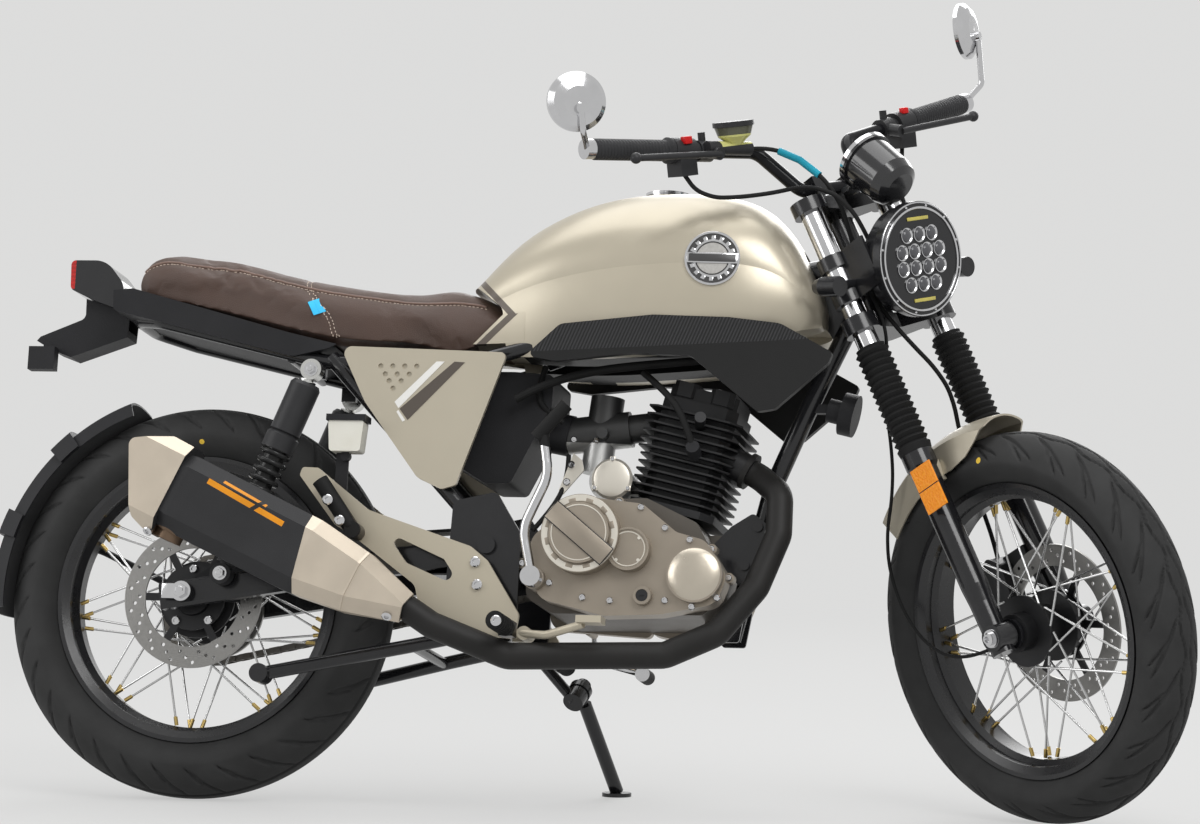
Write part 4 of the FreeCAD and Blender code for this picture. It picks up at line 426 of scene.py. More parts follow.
# %% Fork legs with reflectors, handlebar with grips, and the controls with their fluid jar
def legs_finish():
    finish = Finish("fork legs")
    out = abs(finish.along(STEM, fork_left))
    high = finish.along(STEM, steer_up)
    cell = finish.cells(260)
    amber = [finish.mix(cell, (0.85, 0.23, 0.01, 1), (0.95, 0.36, 0.03, 1)), 0.22, 0.0, cell * 0.5]
    axle_end = finish.around(front_axle, fork_left) < 14.5
    skin = finish.choose(axle_end, enamelled(finish, rough=0.16), plated(finish))
    glowing = (out > 120.5) * band(high, 213, 289) * (abs(high - 251) > 0.8)
    return finish.surface(finish.choose(glowing, skin, amber))


def bar_finish():
    finish = Finish("handlebar")
    out = abs(finish.along(STEM, fork_left))
    grip = rubbery(finish, (0.02, 0.02, 0.021, 1), 0.55)
    grip[3] = (out * 1.05).math("SINE") * 0.5 * (out > 280) + grip[3]
    return finish.surface(finish.choose(out > 266, enamelled(finish, rough=0.15), grip))


WORLD_UP = Vector((math.sin(RAKE), 0, math.cos(RAKE)))      # on the FORK board
AHEAD = Vector((math.cos(RAKE), 0, -math.sin(RAKE)))
JAR = Vector((10.1, -202.8, 886.7)) + Vector((0.0604, 0.9866, -0.1518)) * 44 + WORLD_UP * 13


def controls_finish():
    finish = Finish("hand controls")
    high = finish.along(spot(FORK, *JAR), way(FORK, *WORLD_UP))
    jar = finish.around(spot(FORK, *JAR), way(FORK, *WORLD_UP)) < 34
    drift = finish.noise(14)
    fluid = [finish.mix(drift, (0.52, 0.52, 0.16, 1), (0.62, 0.6, 0.25, 1)), 0.08, 0.0, 0.0]
    smoked = [finish.mix(drift, (0.07, 0.07, 0.05, 1), (0.14, 0.14, 0.1, 1)), 0.06, 0.0, 0.0]
    skin = finish.choose(jar * band(high, -8, 9), moulded(finish, (0.02, 0.02, 0.021, 1), 0.38), fluid)
    return finish.surface(finish.choose(jar * band(high, 9, 21.5), skin, smoked))


# %% Tank with its filler cap and edge band, and the ribbed knee panels
def tank_finish():
    finish = Finish("tank paint", Coat_Weight=0.3, Coat_Roughness=0.22)
    skin = painted(finish, CHAMPAGNE, 0.33)
    high, out = upward(finish), abs(leftward(finish))
    upper = abs(slope(finish, 472, 812, 38, 39)) < 5
    lower = abs(slope(finish, 511, 776, 47, -54)) < 5.5
    bands = either(upper * (high > 776), lower * band(high, 729, 776.5)) * (out > 60)
    umber = moulded(finish, (0.085, 0.07, 0.058, 1), 0.4)
    skin = finish.choose(bands, skin, umber)
    # The tunnel over the frame and the tank below 706 mm are painted near black: this is painted shade under
    # the tank, not a paint of its own.
    tunnel = (out < 97) * (high < 780) * band(finish.along(FOOT, forward), 530, 945)
    skin = finish.choose(either(tunnel, high < 706), skin, moulded(finish, (0.003, 0.003, 0.003, 1), 0.9))
    cap = (finish.around(spot(BIKE, 733, 0, 990), up) < 38.6) * (high > 989)
    return finish.surface(finish.choose(cap, skin, plated(finish, rough=0.12)))


def panel_finish():
    """Slanted ribs over the upper part of the knee panel, fine grain below. The rib crests are painted
    lighter and the grooves darker, as a painted highlight and shade.
    """
    finish = Finish("knee panel")
    skin = moulded(finish, (0.022, 0.022, 0.023, 1), 0.45)
    ribs = (finish.along(FOOT, way(BIKE, 0.93, 0, -0.37)) * 1.2566).math("SINE")
    edge = slope(finish, 700, 716, -0.055, 1) > 0
    # The colour follows the ribs: crests are painted lighter and grooves darker, a painted highlight and
    # shade on top of the bump. Below the edge the panel keeps the dark tone.
    skin[0] = finish.mix(ribs * 0.5 + edge - 0.5, (0.012, 0.012, 0.012, 1), (0.04, 0.04, 0.042, 1))
    skin[3] = ribs * edge * 0.8 + skin[3]
    return finish.surface(skin)


def carburettor_finish():
    """Black body and top, bright bowl."""
    finish = Finish("carburettor")
    high = upward(finish)
    dark = cast(finish, (0.05, 0.05, 0.05, 1), 0.4, 0.5)
    return finish.surface(finish.choose(high < 585, dark, cast(finish, (0.5, 0.5, 0.49, 1), 0.34)))


def light_finish():
    finish = Finish("tail light", Coat_Weight=0.25, Coat_Roughness=0.05)
    back, high = finish.along(FOOT, -forward), upward(finish)
    rows = (high * 0.9).math("SINE") * 0.4
    lens = (back > 241) * band(high, 824, 872)
    red = [finish.mix(finish.noise(50), (0.3, 0.006, 0.004, 1), (0.55, 0.012, 0.008, 1)), 0.1, 0.0, rows]
    return finish.surface(finish.choose(lens, enamelled(finish, rough=0.1), red))


def dial_case_finish():
    finish = Finish("dial case", Coat_Weight=0.5, Coat_Roughness=0.08)
    at, axis = spot(FORK, 107.2, 0, 794.2), way(FORK, -0.509, 0, 0.861)
    rim = (finish.along(at, axis) > -5) * (finish.around(at, axis) > 43.8)
    return finish.surface(finish.choose(rim, enamelled(finish, rough=0.16), plated(finish)))


def shock_finish():
    finish = Finish("shock absorbers")
    eye = finish.around(spot(BIKE, 194, 0, 676), left) < 22
    low = slope(finish, 66, 345, 128, 331)
    spring = moulded(finish, (0.02, 0.02, 0.021, 1), 0.42)
    body = enamelled(finish, (0.02, 0.02, 0.02, 1), 0.12)
    skin = finish.choose(band(low, 66, 216), spring, body)
    return finish.surface(finish.choose(eye, skin, plated(finish, (0.6, 0.6, 0.58, 1), 0.22)))


# %% Dress every CAD piece
tank_paint = tank_finish()
wardrobe = {
    black_enamel: "frame_spine frame_down_tube frame_pivot_plates rear_subframe swingarm side_stand "
                  "centre_stand headlight_bracket fork_yokes headlight",
    champagne: "side_covers front_mudguard",
    black_plastic: "air_box tail_cover rear_mudguard plate_bracket chain_guard horn",
    black_rubber: "front_brake_hose speedometer_cable switch_looms fork_gaiters rear_tyre front_tyre",
    single("black leather", moulded, (0.04, 0.025, 0.02, 1)): "seat",
    bronze: "engine_covers",
    single("dark casting", cast, (0.11, 0.10, 0.088, 1), 0.45): "crankcase",
    alloy: "starter_motor", carburettor_finish(): "carburettor",
    fin_black: "cylinder cylinder_head",
    single("black rims", enamelled, (0.01, 0.01, 0.011, 1), 0.28): "rear_rim front_rim",
    single("burnt black", moulded, (0.012, 0.0115, 0.011, 1), 0.5): "exhaust_pipe",
    silencer_finish(): "muffler",
    chrome: "stanchions mirrors",
    spoke_finish("rear spokes", rear_axle, left): "rear_spokes",
    spoke_finish("front spokes", front_axle, fork_left): "front_spokes",
    hub_finish("rear hub", rear_axle, left, -1, 79): "rear_hub",
    hub_finish("front hub", front_axle, fork_left, 1, 89): "front_hub",
    steel: "chain", black_metal: "front_caliper",
    footrest_finish(): "footrests", lever_finish(): "foot_levers", brake_finish(): "rear_brake",
    legs_finish(): "fork_sliders", bar_finish(): "handlebar", controls_finish(): "hand_controls",
    tank_paint: "fuel_tank", panel_finish(): "tank_trim", light_finish(): "tail_light",
    dial_case_finish(): "instrument", shock_finish(): "shock_absorbers"}
dressed = {name: finish for finish, names in wardrobe.items() for name in names.split()}
for name, node in nodes.items():
    node.data.materials.clear()
    node.data.materials.append(dressed[name])
print("CAD pieces dressed:", len(dressed))

# %% [markdown]
# ## Stage
# A pale floor, a pale surround and four large soft lamps. Chrome and black enamel only show their shape by
# what they mirror, so the lamps are wide sheets of light. The floor keeps the shadow; the surround is lighter
# where the camera looks straight at it.

# %% Floor
def link(name, mesh):
    thing = bpy.data.objects.new(name, mesh)
    bpy.context.scene.collection.objects.link(thing)
    return thing


def mesh_of(name, shape):
    """Turns a bmesh into a mesh, and lets the bmesh go."""
    mesh = bpy.data.meshes.new(name)
    shape.to_mesh(mesh)
    shape.free()
    return mesh


FLOOR_RADIUS, FLOOR_DROP = 45, 0.0005     # metres; the drop keeps the floor off the tyres' lowest points
PALE = (0.72, 0.72, 0.715, 1)             # the backdrop where it is looked at
disc = bmesh.new()
bmesh.ops.create_circle(disc, cap_ends=True, segments=96, radius=FLOOR_RADIUS)
bmesh.ops.translate(disc, vec=(0, 0, -FLOOR_DROP), verts=disc.verts)
floor = link("floor", mesh_of("floor", disc))
floor_finish = Finish("floor", Roughness=0.75)
tone = floor_finish.mix(floor_finish.noise(0.5, 2), (0.60, 0.60, 0.595, 1), (0.64, 0.64, 0.635, 1))
floor_finish.feed(floor_finish.shader, "Base Color", tone)
fade = (floor_finish.reach(Vector()) / 16000 + 0.66).math("MINIMUM", 1.0)
sheen = floor_finish.node("Emission", {}, {"Color": PALE, "Strength": 1.0})
floor_finish.blend(floor_finish.looked_at() * fade, floor_finish.shader, sheen, "Material Output")
floor.data.materials.append(floor_finish.material)
floor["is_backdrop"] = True

# %% Surround: soft grey light, and a pale backdrop for the camera, mirrors and glass
world = bpy.data.worlds.new("surround")
bpy.context.scene.world = world
surround = Nodes(world)
glow = surround.tree.nodes["Background"]
glow.inputs["Color"].default_value = (0.36, 0.365, 0.37, 1)
backdrop = surround.node("Background", {}, {"Color": PALE})
surround.blend(surround.looked_at(), glow, backdrop, "World Output")


# %% Lamps
def lamp(name, at, height, size, watts):
    """A square soft box that shines at a height over the middle of the floor."""
    light = bpy.data.lights.new(name, "AREA")
    light.shape, light.size, light.energy = "SQUARE", size, watts
    thing = link(name, light)
    thing.location = at
    thing.rotation_euler = (Vector((0, 0, height)) - Vector(at)).to_track_quat("-Z", "Y").to_euler()


lamp("key", (2.6, -3.6, 4.4), 0.5, 3.0, 180)
lamp("overhead", (-0.6, 0.4, 4.6), 0.5, 4.0, 115)
lamp("fill", (-4.6, -2.6, 2.2), 0.6, 3.0, 90)
lamp("far side", (0.5, 4.6, 3.0), 0.5, 3.5, 130)
print("lamps:", len(bpy.data.lights))

# %% [markdown]
# ## Camera
# A long lens from the right, a little ahead of the machine and just above the height of its axles.

# %% Camera, placed from the rear axle
azimuth, elevation, roll = math.radians(11.88), math.radians(1.10), math.radians(0.625)
right = Vector((math.cos(azimuth), math.sin(azimuth), 0))
level = Vector((math.sin(azimuth), -math.cos(azimuth), 0))
back = level * math.cos(elevation) + Vector((0, 0, math.sin(elevation)))
above = back.cross(right)
sine, cosine = math.sin(roll), math.cos(roll)
right, above = right * cosine + above * sine, above * cosine - right * sine
camera_data = bpy.data.cameras.new("camera")
camera_data.lens, camera_data.sensor_width = 143.64, 36
camera_data.shift_x, camera_data.shift_y = -0.0134, 0.0072
camera = link("camera", camera_data)
camera.matrix_world = Matrix((right, above, back)).transposed().to_4x4()
camera.location = rear_axle + Vector((2.2387, -7.4223, 0.4500))
bpy.context.scene.camera = camera
bpy.context.scene.view_settings.view_transform = "Standard"
print("camera is", round((camera.location - rear_axle).length, 2), "m from the rear axle")

# %% [markdown]
# ## Modelling helpers
# Most trim is turned on a lathe or cut from a plate. A profile of radius and height is spun about an axis,
# and a plate is one face pushed out to its thickness. Each piece is drawn on a board in millimetres and then
# laid onto the machine, so its object stays at the origin.

# %% Turned, boxed and plated shapes
FULL = 2 * math.pi


def aim(at, toward):
    """Carries a shape drawn about Z to a spot on a board, its Z turned toward a direction."""
    turn = Vector((0, 0, 1)).rotation_difference(Vector(toward))
    return Matrix.Translation(Vector(at)) @ turn.to_matrix().to_4x4()


def turned(shape, rows, at, toward, steps=32):
    """Spins rows of radius and height about an axis."""
    place = aim(at, toward)
    verts = [shape.verts.new(place @ Vector((radius, 0, height))) for radius, height in rows]
    edges = [shape.edges.new(pair) for pair in zip(verts, verts[1:])]
    bmesh.ops.spin(shape, geom=verts + edges, cent=at, axis=toward, angle=FULL, steps=steps, use_merge=True)


def rod(shape, start, end, radius, steps):
    """Round bar from one spot to another."""
    reach = end - start
    turned(shape, [(0, 0), (radius, 0), (radius, reach.length), (0, reach.length)], start, reach, steps)


def shifted(x, y, z):
    return Matrix.Translation((x, y, z))


def block(shape, size, place, bevel=0.0):
    """Box of a size, carried to its place, with rounded edges."""
    made = bmesh.ops.create_cube(shape, size=1, matrix=place @ Matrix.Diagonal((*size, 1)))
    if bevel:
        edges = list({edge for vert in made["verts"] for edge in vert.link_edges})
        bmesh.ops.bevel(shape, geom=edges, offset=bevel, segments=2, profile=0.5, affect="EDGES", material=-1)


def plate(shape, outline, y0, y1):
    """Side-view outline of x and z, pushed out from y0 to y1."""
    face = shape.faces.new([shape.verts.new((x, y0, z)) for x, z in outline])
    grown = bmesh.ops.extrude_face_region(shape, geom=[face])["geom"]
    verts = [part for part in grown if isinstance(part, bmesh.types.BMVert)]
    bmesh.ops.translate(shape, vec=(0, y1 - y0, 0), verts=verts)


def piece(name, shape, where, body, material, slot, crease=35):
    """Closes the mesh, lays it onto the machine, and gives it its body and its material. The slot is not
    used.
    """
    bmesh.ops.remove_doubles(shape, verts=shape.verts, dist=0.01)
    bmesh.ops.recalc_face_normals(shape, faces=shape.faces)
    bmesh.ops.transform(shape, matrix=where, verts=shape.verts)
    mesh = mesh_of(name, shape)
    mesh.shade_smooth()
    mesh.set_sharp_from_angle(angle=math.radians(crease))
    mesh.materials.append(material)
    thing = link(name, mesh)
    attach(thing, body)
    return thing


def pieces(where, body, crease, *rows):
    """Several pieces on one board and one body, each a row of its name, shape, material and slot."""
    for name, shape, material, slot in rows:
        piece(name, shape, where, body, material, slot, crease)


def shapes(count):
    return [bmesh.new() for _ in range(count)]


def touch(node, where, at, toward):
    """Where a ray on a board meets a CAD piece, on that board, and the way its surface faces there."""
    hit, found, normal, _ = nodes[node].ray_cast(spot(where, *at), way(where, *toward))
    if not hit:
        print("no surface of", node, "at", [round(value) for value in at])
        return None, None
    return spot(where.inverted(), *found), way(where.inverted(), *normal)


# %% Bolts
def socket_head(shape, at, toward, radius, height=5.0):
    """Cap screw with its socket, turned in one profile. Without a face to sit on there is no screw."""
    if at is None:
        return
    rows = [(0, 0.35), (0.45, 0.35), (0.5, 1), (0.8, 1), (1, 0.75), (1, 0), (0, 0)]
    turned(shape, [(radius * r, height * h) for r, h in rows], at, toward, 16)


def hex_head(shape, at, toward, radius, height, washer=1.6):
    """Hexagon bolt on its washer, with a stamped step on top."""
    if at is None:
        return
    turned(shape, [(0, washer), (radius * 1.35, washer), (radius * 1.35, 0), (0, 0)], at, toward, 20)
    lifted = aim(at, toward) @ shifted(0, 0, washer + height / 2)
    bmesh.ops.create_cone(shape, cap_ends=True, segments=6, radius1=radius, radius2=radius * 0.93,
                          depth=height, matrix=lifted)
    top = height + washer
    turned(shape, [(0, top), (radius * 0.55, top), (radius * 0.5, top + 0.6), (0, top + 0.6)], at, toward, 12)


# %% [markdown]
# ## Tyres
# A road tyre's crown is a plain arc, and its tread is cut into it. The crown is spun as a dense skin, and
# each vertex that falls into a groove is pushed toward the tyre's core. Real depth keeps the grooves in view
# from every side, where a bump would vanish at the tyre's edge.

# %% A tyre with cut grooves
TREAD_STEPS, GROOVE_DEPTH = 756, 3.6


def groove(share, half, wide=1.6):
    """Depth share of a groove at a distance in millimetres from its middle."""
    return max(0.0, min(1.0, (half - share) / wide + 0.5))


def tread_tyre(name, node, body, axle, axis, radius, width, rim_width, pattern, pitches):
    """Spun tyre whose crown follows a pattern of turn, offset and side."""
    crown, bead = width / 2, rim_width / 2 - 4.3
    hub_r = radius - crown
    bend = math.radians(75)
    edge = Vector((hub_r + crown * math.cos(bend), crown * math.sin(bend)))
    lip = Vector((232.0, bead))
    wall = Vector(((edge.x + lip.x) / 2, (edge.y + lip.y) / 2 + crown * 0.1))
    pull = wall * 2 - (edge + lip) / 2
    turns = [bend * t / 32 for t in range(33)]
    arc = [Vector((hub_r + crown * math.cos(turn), crown * math.sin(turn))) for turn in turns]
    steps = (0.12, 0.3, 0.5, 0.7, 0.85, 1.0)
    side = [edge * (1 - t) ** 2 + pull * 2 * t * (1 - t) + lip * t * t for t in steps]
    inner = [(218.6, bead), (218.6, bead - 10), (233, bead - 6), ((wall.x + radius) / 2 - 22, wall.y - 9),
             (radius - 10, 12)]
    half = [(r, y) for r, y in inner[::-1]] + [(p.x, p.y) for p in (arc + side)[::-1]]
    outline = half + [(r, -y) for r, y in half[::-1][1:]]
    shape = bmesh.new()
    verts = [shape.verts.new((r, 0, y)) for r, y in outline]
    edges = [shape.edges.new(pair) for pair in zip(verts, verts[1:] + verts[:1])]
    bmesh.ops.spin(shape, geom=verts + edges, cent=(0, 0, 0), axis=(0, 0, 1), angle=FULL, steps=TREAD_STEPS,
                   use_merge=True)
    for vert in shape.verts:
        flat = math.hypot(vert.co.x, vert.co.y)
        out = Vector((flat - hub_r, vert.co.z))
        if out.length < crown - 1.5 or flat < edge.x - 1 or flat < hub_r:
            continue
        turn = math.atan2(vert.co.y, vert.co.x) / FULL * pitches
        offset = math.atan2(out.y, out.x) * crown
        depth = GROOVE_DEPTH * pattern(turn % 1.0, offset)
        if depth:
            out.length -= depth
            vert.co.x *= (hub_r + out.x) / flat
            vert.co.y *= (hub_r + out.x) / flat
            vert.co.z = out.y
    place = board(axle, axis.orthogonal().normalized(), axis.cross(axis.orthogonal()).normalized(), axis)
    tyre = piece(name, shape, place, body, tyre_rubber, "tyre_rubber", 40)
    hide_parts(node)
    print(name, "has", len(tyre.data.polygons), "faces")


def slash(turn, offset, pitch, start, end, lead, half, shift=0.0):
    """A slanting groove, mirrored left to right and staggered by half a pitch."""
    share = (abs(offset) - start) / (end - start)
    if not 0 < share < 1:
        return 0.0
    middle = (turn + shift + (0.5 if offset < 0 else 0.0) - lead * share) % 1.0 - 0.5
    lean = math.hypot(1, lead * pitch / (end - start))
    return groove(abs(middle) * pitch / lean, half * min(1.0, 5 * share, 5 * (1 - share)))


def rear_pattern(turn, offset):
    """Two rings round the crown and slashes on both shoulders."""
    return max(groove(abs(abs(offset) - 17), 2.6), slash(turn, offset, 62, 21, 74, 0.85, 2.6),
               slash(turn, offset, 62, 44, 80, 0.5, 2.0, 0.5))


def front_pattern(turn, offset):
    """Long waves near the middle that hook outwards on the shoulders."""
    wave = groove(abs(abs(offset) - 9 - 3.5 * math.sin(FULL * turn)), 2.2)
    return max(wave, slash(turn, offset, 80, 15, 62, 1.25, 2.6),
               slash(turn, offset, 80, 34, 68, 0.55, 2.2, 0.55))


def tyre_finish():
    """Grey-black rubber with a soft bloom and a yellow paint dot on the side wall."""
    finish = Finish("tyre rubber")
    skin = rubbery(finish, (0.021, 0.021, 0.021, 1), 0.68)
    rear = finish.reach(spot(BIKE, -3, -57, 572)) < 5
    front = finish.reach(spot(FORK, 118, -50, 262)) < 5
    dot = [(0.75, 0.5, 0.06, 1), 0.5, 0.0, 0.0]
    return finish.surface(finish.choose(either(rear, front), skin, dot))


tyre_rubber = tyre_finish()
tread_tyre("rear_tyre_tread", "rear_tyre", "rear_wheel", rear_axle, left,
           REAR_R, 130, 88, rear_pattern, 32)
tread_tyre("front_tyre_tread", "front_tyre", "front_wheel", front_axle, fork_left,
           FRONT_R, 110, 76, front_pattern, 24)

# %% [markdown]
# ## Chain
# The CAD chain is a plain loop for the collisions. A real one is pairs of plates joined by rollers, inner and
# outer by turns. One link is about twenty faces, repeated round two sprocket arcs and two straights.

# %% Points round the loop, half an inch apart
PITCH, OUTER_PLATE, INNER_PLATE = 12.7, 7.2, 4.9


def loop_points(big, small, rear, front):
    """Evenly spaced middles and directions round two circles and their tangents."""
    line = front - rear
    tilt, open_angle = math.atan2(line.z, line.x), math.acos((big - small) / line.length)
    top, bottom = tilt + open_angle, tilt - open_angle
    run = math.sqrt(line.length ** 2 - (big - small) ** 2)
    lengths = [run, small * 2 * open_angle, run, big * (2 * math.pi - 2 * open_angle)]
    total = sum(lengths)
    count = 2 * round(total / PITCH / 2)
    for i in range(count):
        s = i * total / count
        for part, length in enumerate(lengths):
            if s <= length:
                break
            s -= length
        if part in (0, 2):
            angle = top if part == 0 else bottom
            at = rear + Vector((math.cos(angle), 0, math.sin(angle))) * big
            along = Vector((math.sin(angle), 0, -math.cos(angle)))
            if part == 2:
                at += Vector((math.cos(angle), 0, math.sin(angle))) * (small - big) + line
            yield at + along * s, along
        else:
            middle, radius, start = (front, small, top) if part == 1 else (rear, big, bottom)
            angle = start - s / radius
            out = Vector((math.cos(angle), 0, math.sin(angle)))
            yield middle + out * radius, Vector((out.z, 0, -out.x))


# %% Links
links = bmesh.new()
for number, (at, along) in enumerate(loop_points(86, 38, Vector((0, 76, 317)), Vector((578, 76, 400)))):
    across = along.cross(Vector((0, 1, 0)))
    place = Matrix((along, Vector((0, 1, 0)), across)).transposed().to_4x4()
    place.translation = at
    half = OUTER_PLATE if number % 2 else INNER_PLATE
    for side in (-half, half):
        block(links, (16.5, 1.5, 9.4), place @ shifted(0, side, 0))
    bmesh.ops.create_cone(links, cap_ends=True, segments=8, radius1=4.2, radius2=4.2, depth=17.4,
                          matrix=place @ shifted(PITCH / 2, 0, 0) @ Matrix.Rotation(math.pi / 2, 4, "X"))
oiled = single("oiled steel", brushed, (0.16, 0.15, 0.135, 1), 0.4)
chain = piece("chain_links", links, BIKE, "chassis", oiled, "bright_steel")
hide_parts("chain")
print("chain faces:", len(chain.data.polygons))

# %% [markdown]
# ## Seat
# The seat is leather over foam: a long crowned pad that swells between its edges, a piped seam along each top
# edge and one cross seam with two rows of stitches. The pad starts from the CAD solid, is remeshed evenly and
# blown up a little with cloth, which rounds it as foam does. Seams are pressed in after that, because a
# remesh would wipe them out.

# %% Blow up the pad
CLOTH_FRAMES = 20


def applied(thing):
    """The mesh that a thing's modifiers give; they are cleared."""
    mesh = bpy.data.meshes.new_from_object(thing.evaluated_get(bpy.context.evaluated_depsgraph_get()))
    thing.modifiers.clear()
    return mesh


def padded_copy(node, body, voxel, pressure, cap, shrink):
    """Copy of a CAD solid, remeshed and inflated with cloth, no point moving further than cap."""
    shape = bmesh.new()
    shape.from_mesh(nodes[node].data)
    bmesh.ops.remove_doubles(shape, verts=shape.verts, dist=0.00001)
    pad = link("seat_pad", mesh_of(node + "_pad", shape))
    bpy.context.view_layer.objects.active = pad
    even = pad.modifiers.new("remesh", "REMESH")
    even.mode, even.voxel_size = "VOXEL", voxel
    inward = pad.modifiers.new("displace", "DISPLACE")
    inward.strength, inward.mid_level = -shrink, 0
    flat = applied(pad)
    pad.data = flat
    start = [vert.co.copy() for vert in flat.vertices]
    cloth = pad.modifiers.new("cloth", "CLOTH")
    cloth.settings.use_pressure = True
    cloth.settings.uniform_pressure_force = pressure
    cloth.settings.quality = 4
    cloth.settings.effector_weights.gravity = 0
    cloth.point_cache.frame_start, cloth.point_cache.frame_end = 1, CLOTH_FRAMES
    for number in range(1, CLOTH_FRAMES + 1):
        bpy.context.scene.frame_set(number)
    blown = applied(pad)
    for vert, was, new in zip(flat.vertices, start, blown.vertices):
        move = new.co - was
        vert.co = was + move * min(1.0, cap / max(move.length, 1e-9))
    bpy.context.scene.frame_set(1)
    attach(pad, body)
    return pad


HOME = BIKE.inverted()
NOSE_FROM, NOSE_LENGTH, NOSE_REACH, NOSE_LIFT = 425, 59, 16, 9


def nose_forward(shape):
    """Draws the pad's nose forward and up against the tank, which presses into it."""
    for vert in shape.data.vertices:
        at = HOME @ vert.co
        share = max(0.0, (at.x - NOSE_FROM) / NOSE_LENGTH) ** 1.3
        lift = NOSE_LIFT * share * (1 if at.z > 780 else 0.4)
        vert.co = BIKE @ (at + Vector((NOSE_REACH * share, 0, lift)))


pad = padded_copy("seat", "chassis", 0.005, 4.0, 0.006, 0.003)
nose_forward(pad)
print("pad points:", len(pad.data.vertices))


# %% Press the seams in
def seat_edge(side):
    """The piped top edge on one side, rear to front, on the BIKE board."""
    rows = [(-112, 845, 92), (-77, 862, 101), (-20, 862, 104), (42, 853, 107),
            (100, 841, 112), (160, 827, 116), (211, 814, 115), (294, 804, 110),
            (376, 799, 100), (430, 803, 86), (462, 796, 76)]
    return [Vector((x, side * y, z)) for x, z, y in rows]


def smooth_line(points, count):
    """Even points along a smooth curve through these."""
    curve = bpy.data.curves.new("guide", "CURVE")
    curve.dimensions = "3D"
    spline = curve.splines.new("NURBS")
    spline.points.add(len(points) - 1)
    for at, place in zip(spline.points, points):
        at.co = (*place, 1)
    spline.order_u, spline.use_endpoint_u, spline.resolution_u = 3, True, 12
    holder = bpy.data.objects.new("guide", curve)
    line = bpy.data.meshes.new_from_object(holder)
    path = [vert.co.copy() for vert in line.vertices]
    bpy.data.objects.remove(holder)
    lengths = [0.0]
    for a, b in zip(path, path[1:]):
        lengths.append(lengths[-1] + (b - a).length)
    found, part = [], 0
    for i in range(count):
        want = lengths[-1] * i / (count - 1)
        while part < len(path) - 2 and lengths[part + 1] < want:
            part += 1
        share = (want - lengths[part]) / max(lengths[part + 1] - lengths[part], 1e-9)
        found.append(path[part].lerp(path[part + 1], share))
    return found


HALF_CROSS = [(226, 140, 718), (217, 140, 757), (195, 136, 791), (174, 118, 818), (168, 80, 832)]
CROSS = [Vector((x, -y, z)) for x, y, z in HALF_CROSS] + [Vector((166, 0, 838))] + [
    Vector(row) for row in HALF_CROSS[::-1]]


def settle(points, lift=0.0):
    """Drops points onto the pad, lifted off it in millimetres; gives each with the way the pad faces."""
    laid = []
    for at in points:
        _, found, normal, _ = pad.closest_point_on_mesh(BIKE @ at)
        facing = way(HOME, *normal)
        laid.append((HOME @ found + facing * lift, facing))
    return laid


bpy.context.view_layer.update()
cross_line = [at for at, _ in settle(smooth_line(CROSS, 160))]
edge_lines = {side: [at for at, _ in settle(smooth_line(seat_edge(side), 260))] for side in (-1, 1)}
seams = cross_line + edge_lines[-1] + edge_lines[1]
tree = kdtree.KDTree(len(seams))
for number, at in enumerate(seams):
    tree.insert(at, number)
tree.balance()
SEAM_WIDTH, CROSS_DEPTH, EDGE_DEPTH = 4.2, 2.6, 1.8
for vert in pad.data.vertices:
    _, number, far = tree.find(HOME @ vert.co)
    if far < 14:
        depth = CROSS_DEPTH if number < len(cross_line) else EDGE_DEPTH
        vert.co -= vert.normal * 0.001 * depth * math.exp(-(far / SEAM_WIDTH) ** 2)
smooth = pad.modifiers.new("smooth", "SUBSURF")
smooth.levels = smooth.render_levels = 1
bpy.context.view_layer.update()
print("cross seam is", round(sum((b - a).length for a, b in zip(cross_line, cross_line[1:]))), "mm long")


# %% Stitches, piping and a bare tab
def thread(shape, points, radius, steps=8):
    """Round cord along points, as one swept ring of faces."""
    ring, turns = None, [FULL * k / steps for k in range(steps)]
    for number, (at, facing) in enumerate(points):
        after = points[min(number + 1, len(points) - 1)][0]
        before = points[max(number - 1, 0)][0]
        along = (after - before).normalized()
        side = along.cross(facing).normalized()
        over = side.cross(along)
        verts = [shape.verts.new(at + (side * math.cos(turn) + over * math.sin(turn)) * radius)
                 for turn in turns]
        edges = [shape.edges.new(pair) for pair in zip(verts, verts[1:] + verts[:1])]
        if ring:
            bmesh.ops.bridge_loops(shape, edges=ring + edges)
        else:
            shape.faces.new(verts)
        ring = edges
    shape.faces.new(verts)


def stitches(shape, points, offset, length, gap, radius=0.55):
    """Short rounded stitches beside a seam, laid on the pad."""
    walked, due = 0.0, 0.0
    for (a, facing), (b, _) in zip(points, points[1:]):
        walked += (b - a).length
        if walked < due:
            continue
        due = walked + length + gap
        along = (b - a).normalized()
        at = a + along.cross(facing).normalized() * offset + facing * 0.2
        bmesh.ops.create_cone(shape, cap_ends=True, segments=6, radius1=radius, radius2=radius, depth=length,
                              matrix=aim(at, along))


def leather(name, colour):
    """Dark brown leather with pebble grain and soft creases."""
    finish = Finish(name, Sheen_Weight=0.05, Sheen_Roughness=0.5)
    pebble, crease = finish.cells(420, "DISTANCE_TO_EDGE"), finish.noise(16, 5)
    tone = finish.mix(crease, shade(colour, 0.75), shade(colour, 1.25))
    grain = (pebble * 3).math("MINIMUM", 0.6) * 0.3 + crease * 0.6
    return finish.surface([tone, crease * 0.14 + 0.42, 0.0, grain])


brown = leather("brown leather", (0.058, 0.030, 0.020, 1))
pad.data.materials.clear()
pad.data.materials.append(brown)
for polygon in pad.data.polygons:
    polygon.use_smooth = True
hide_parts("seat")

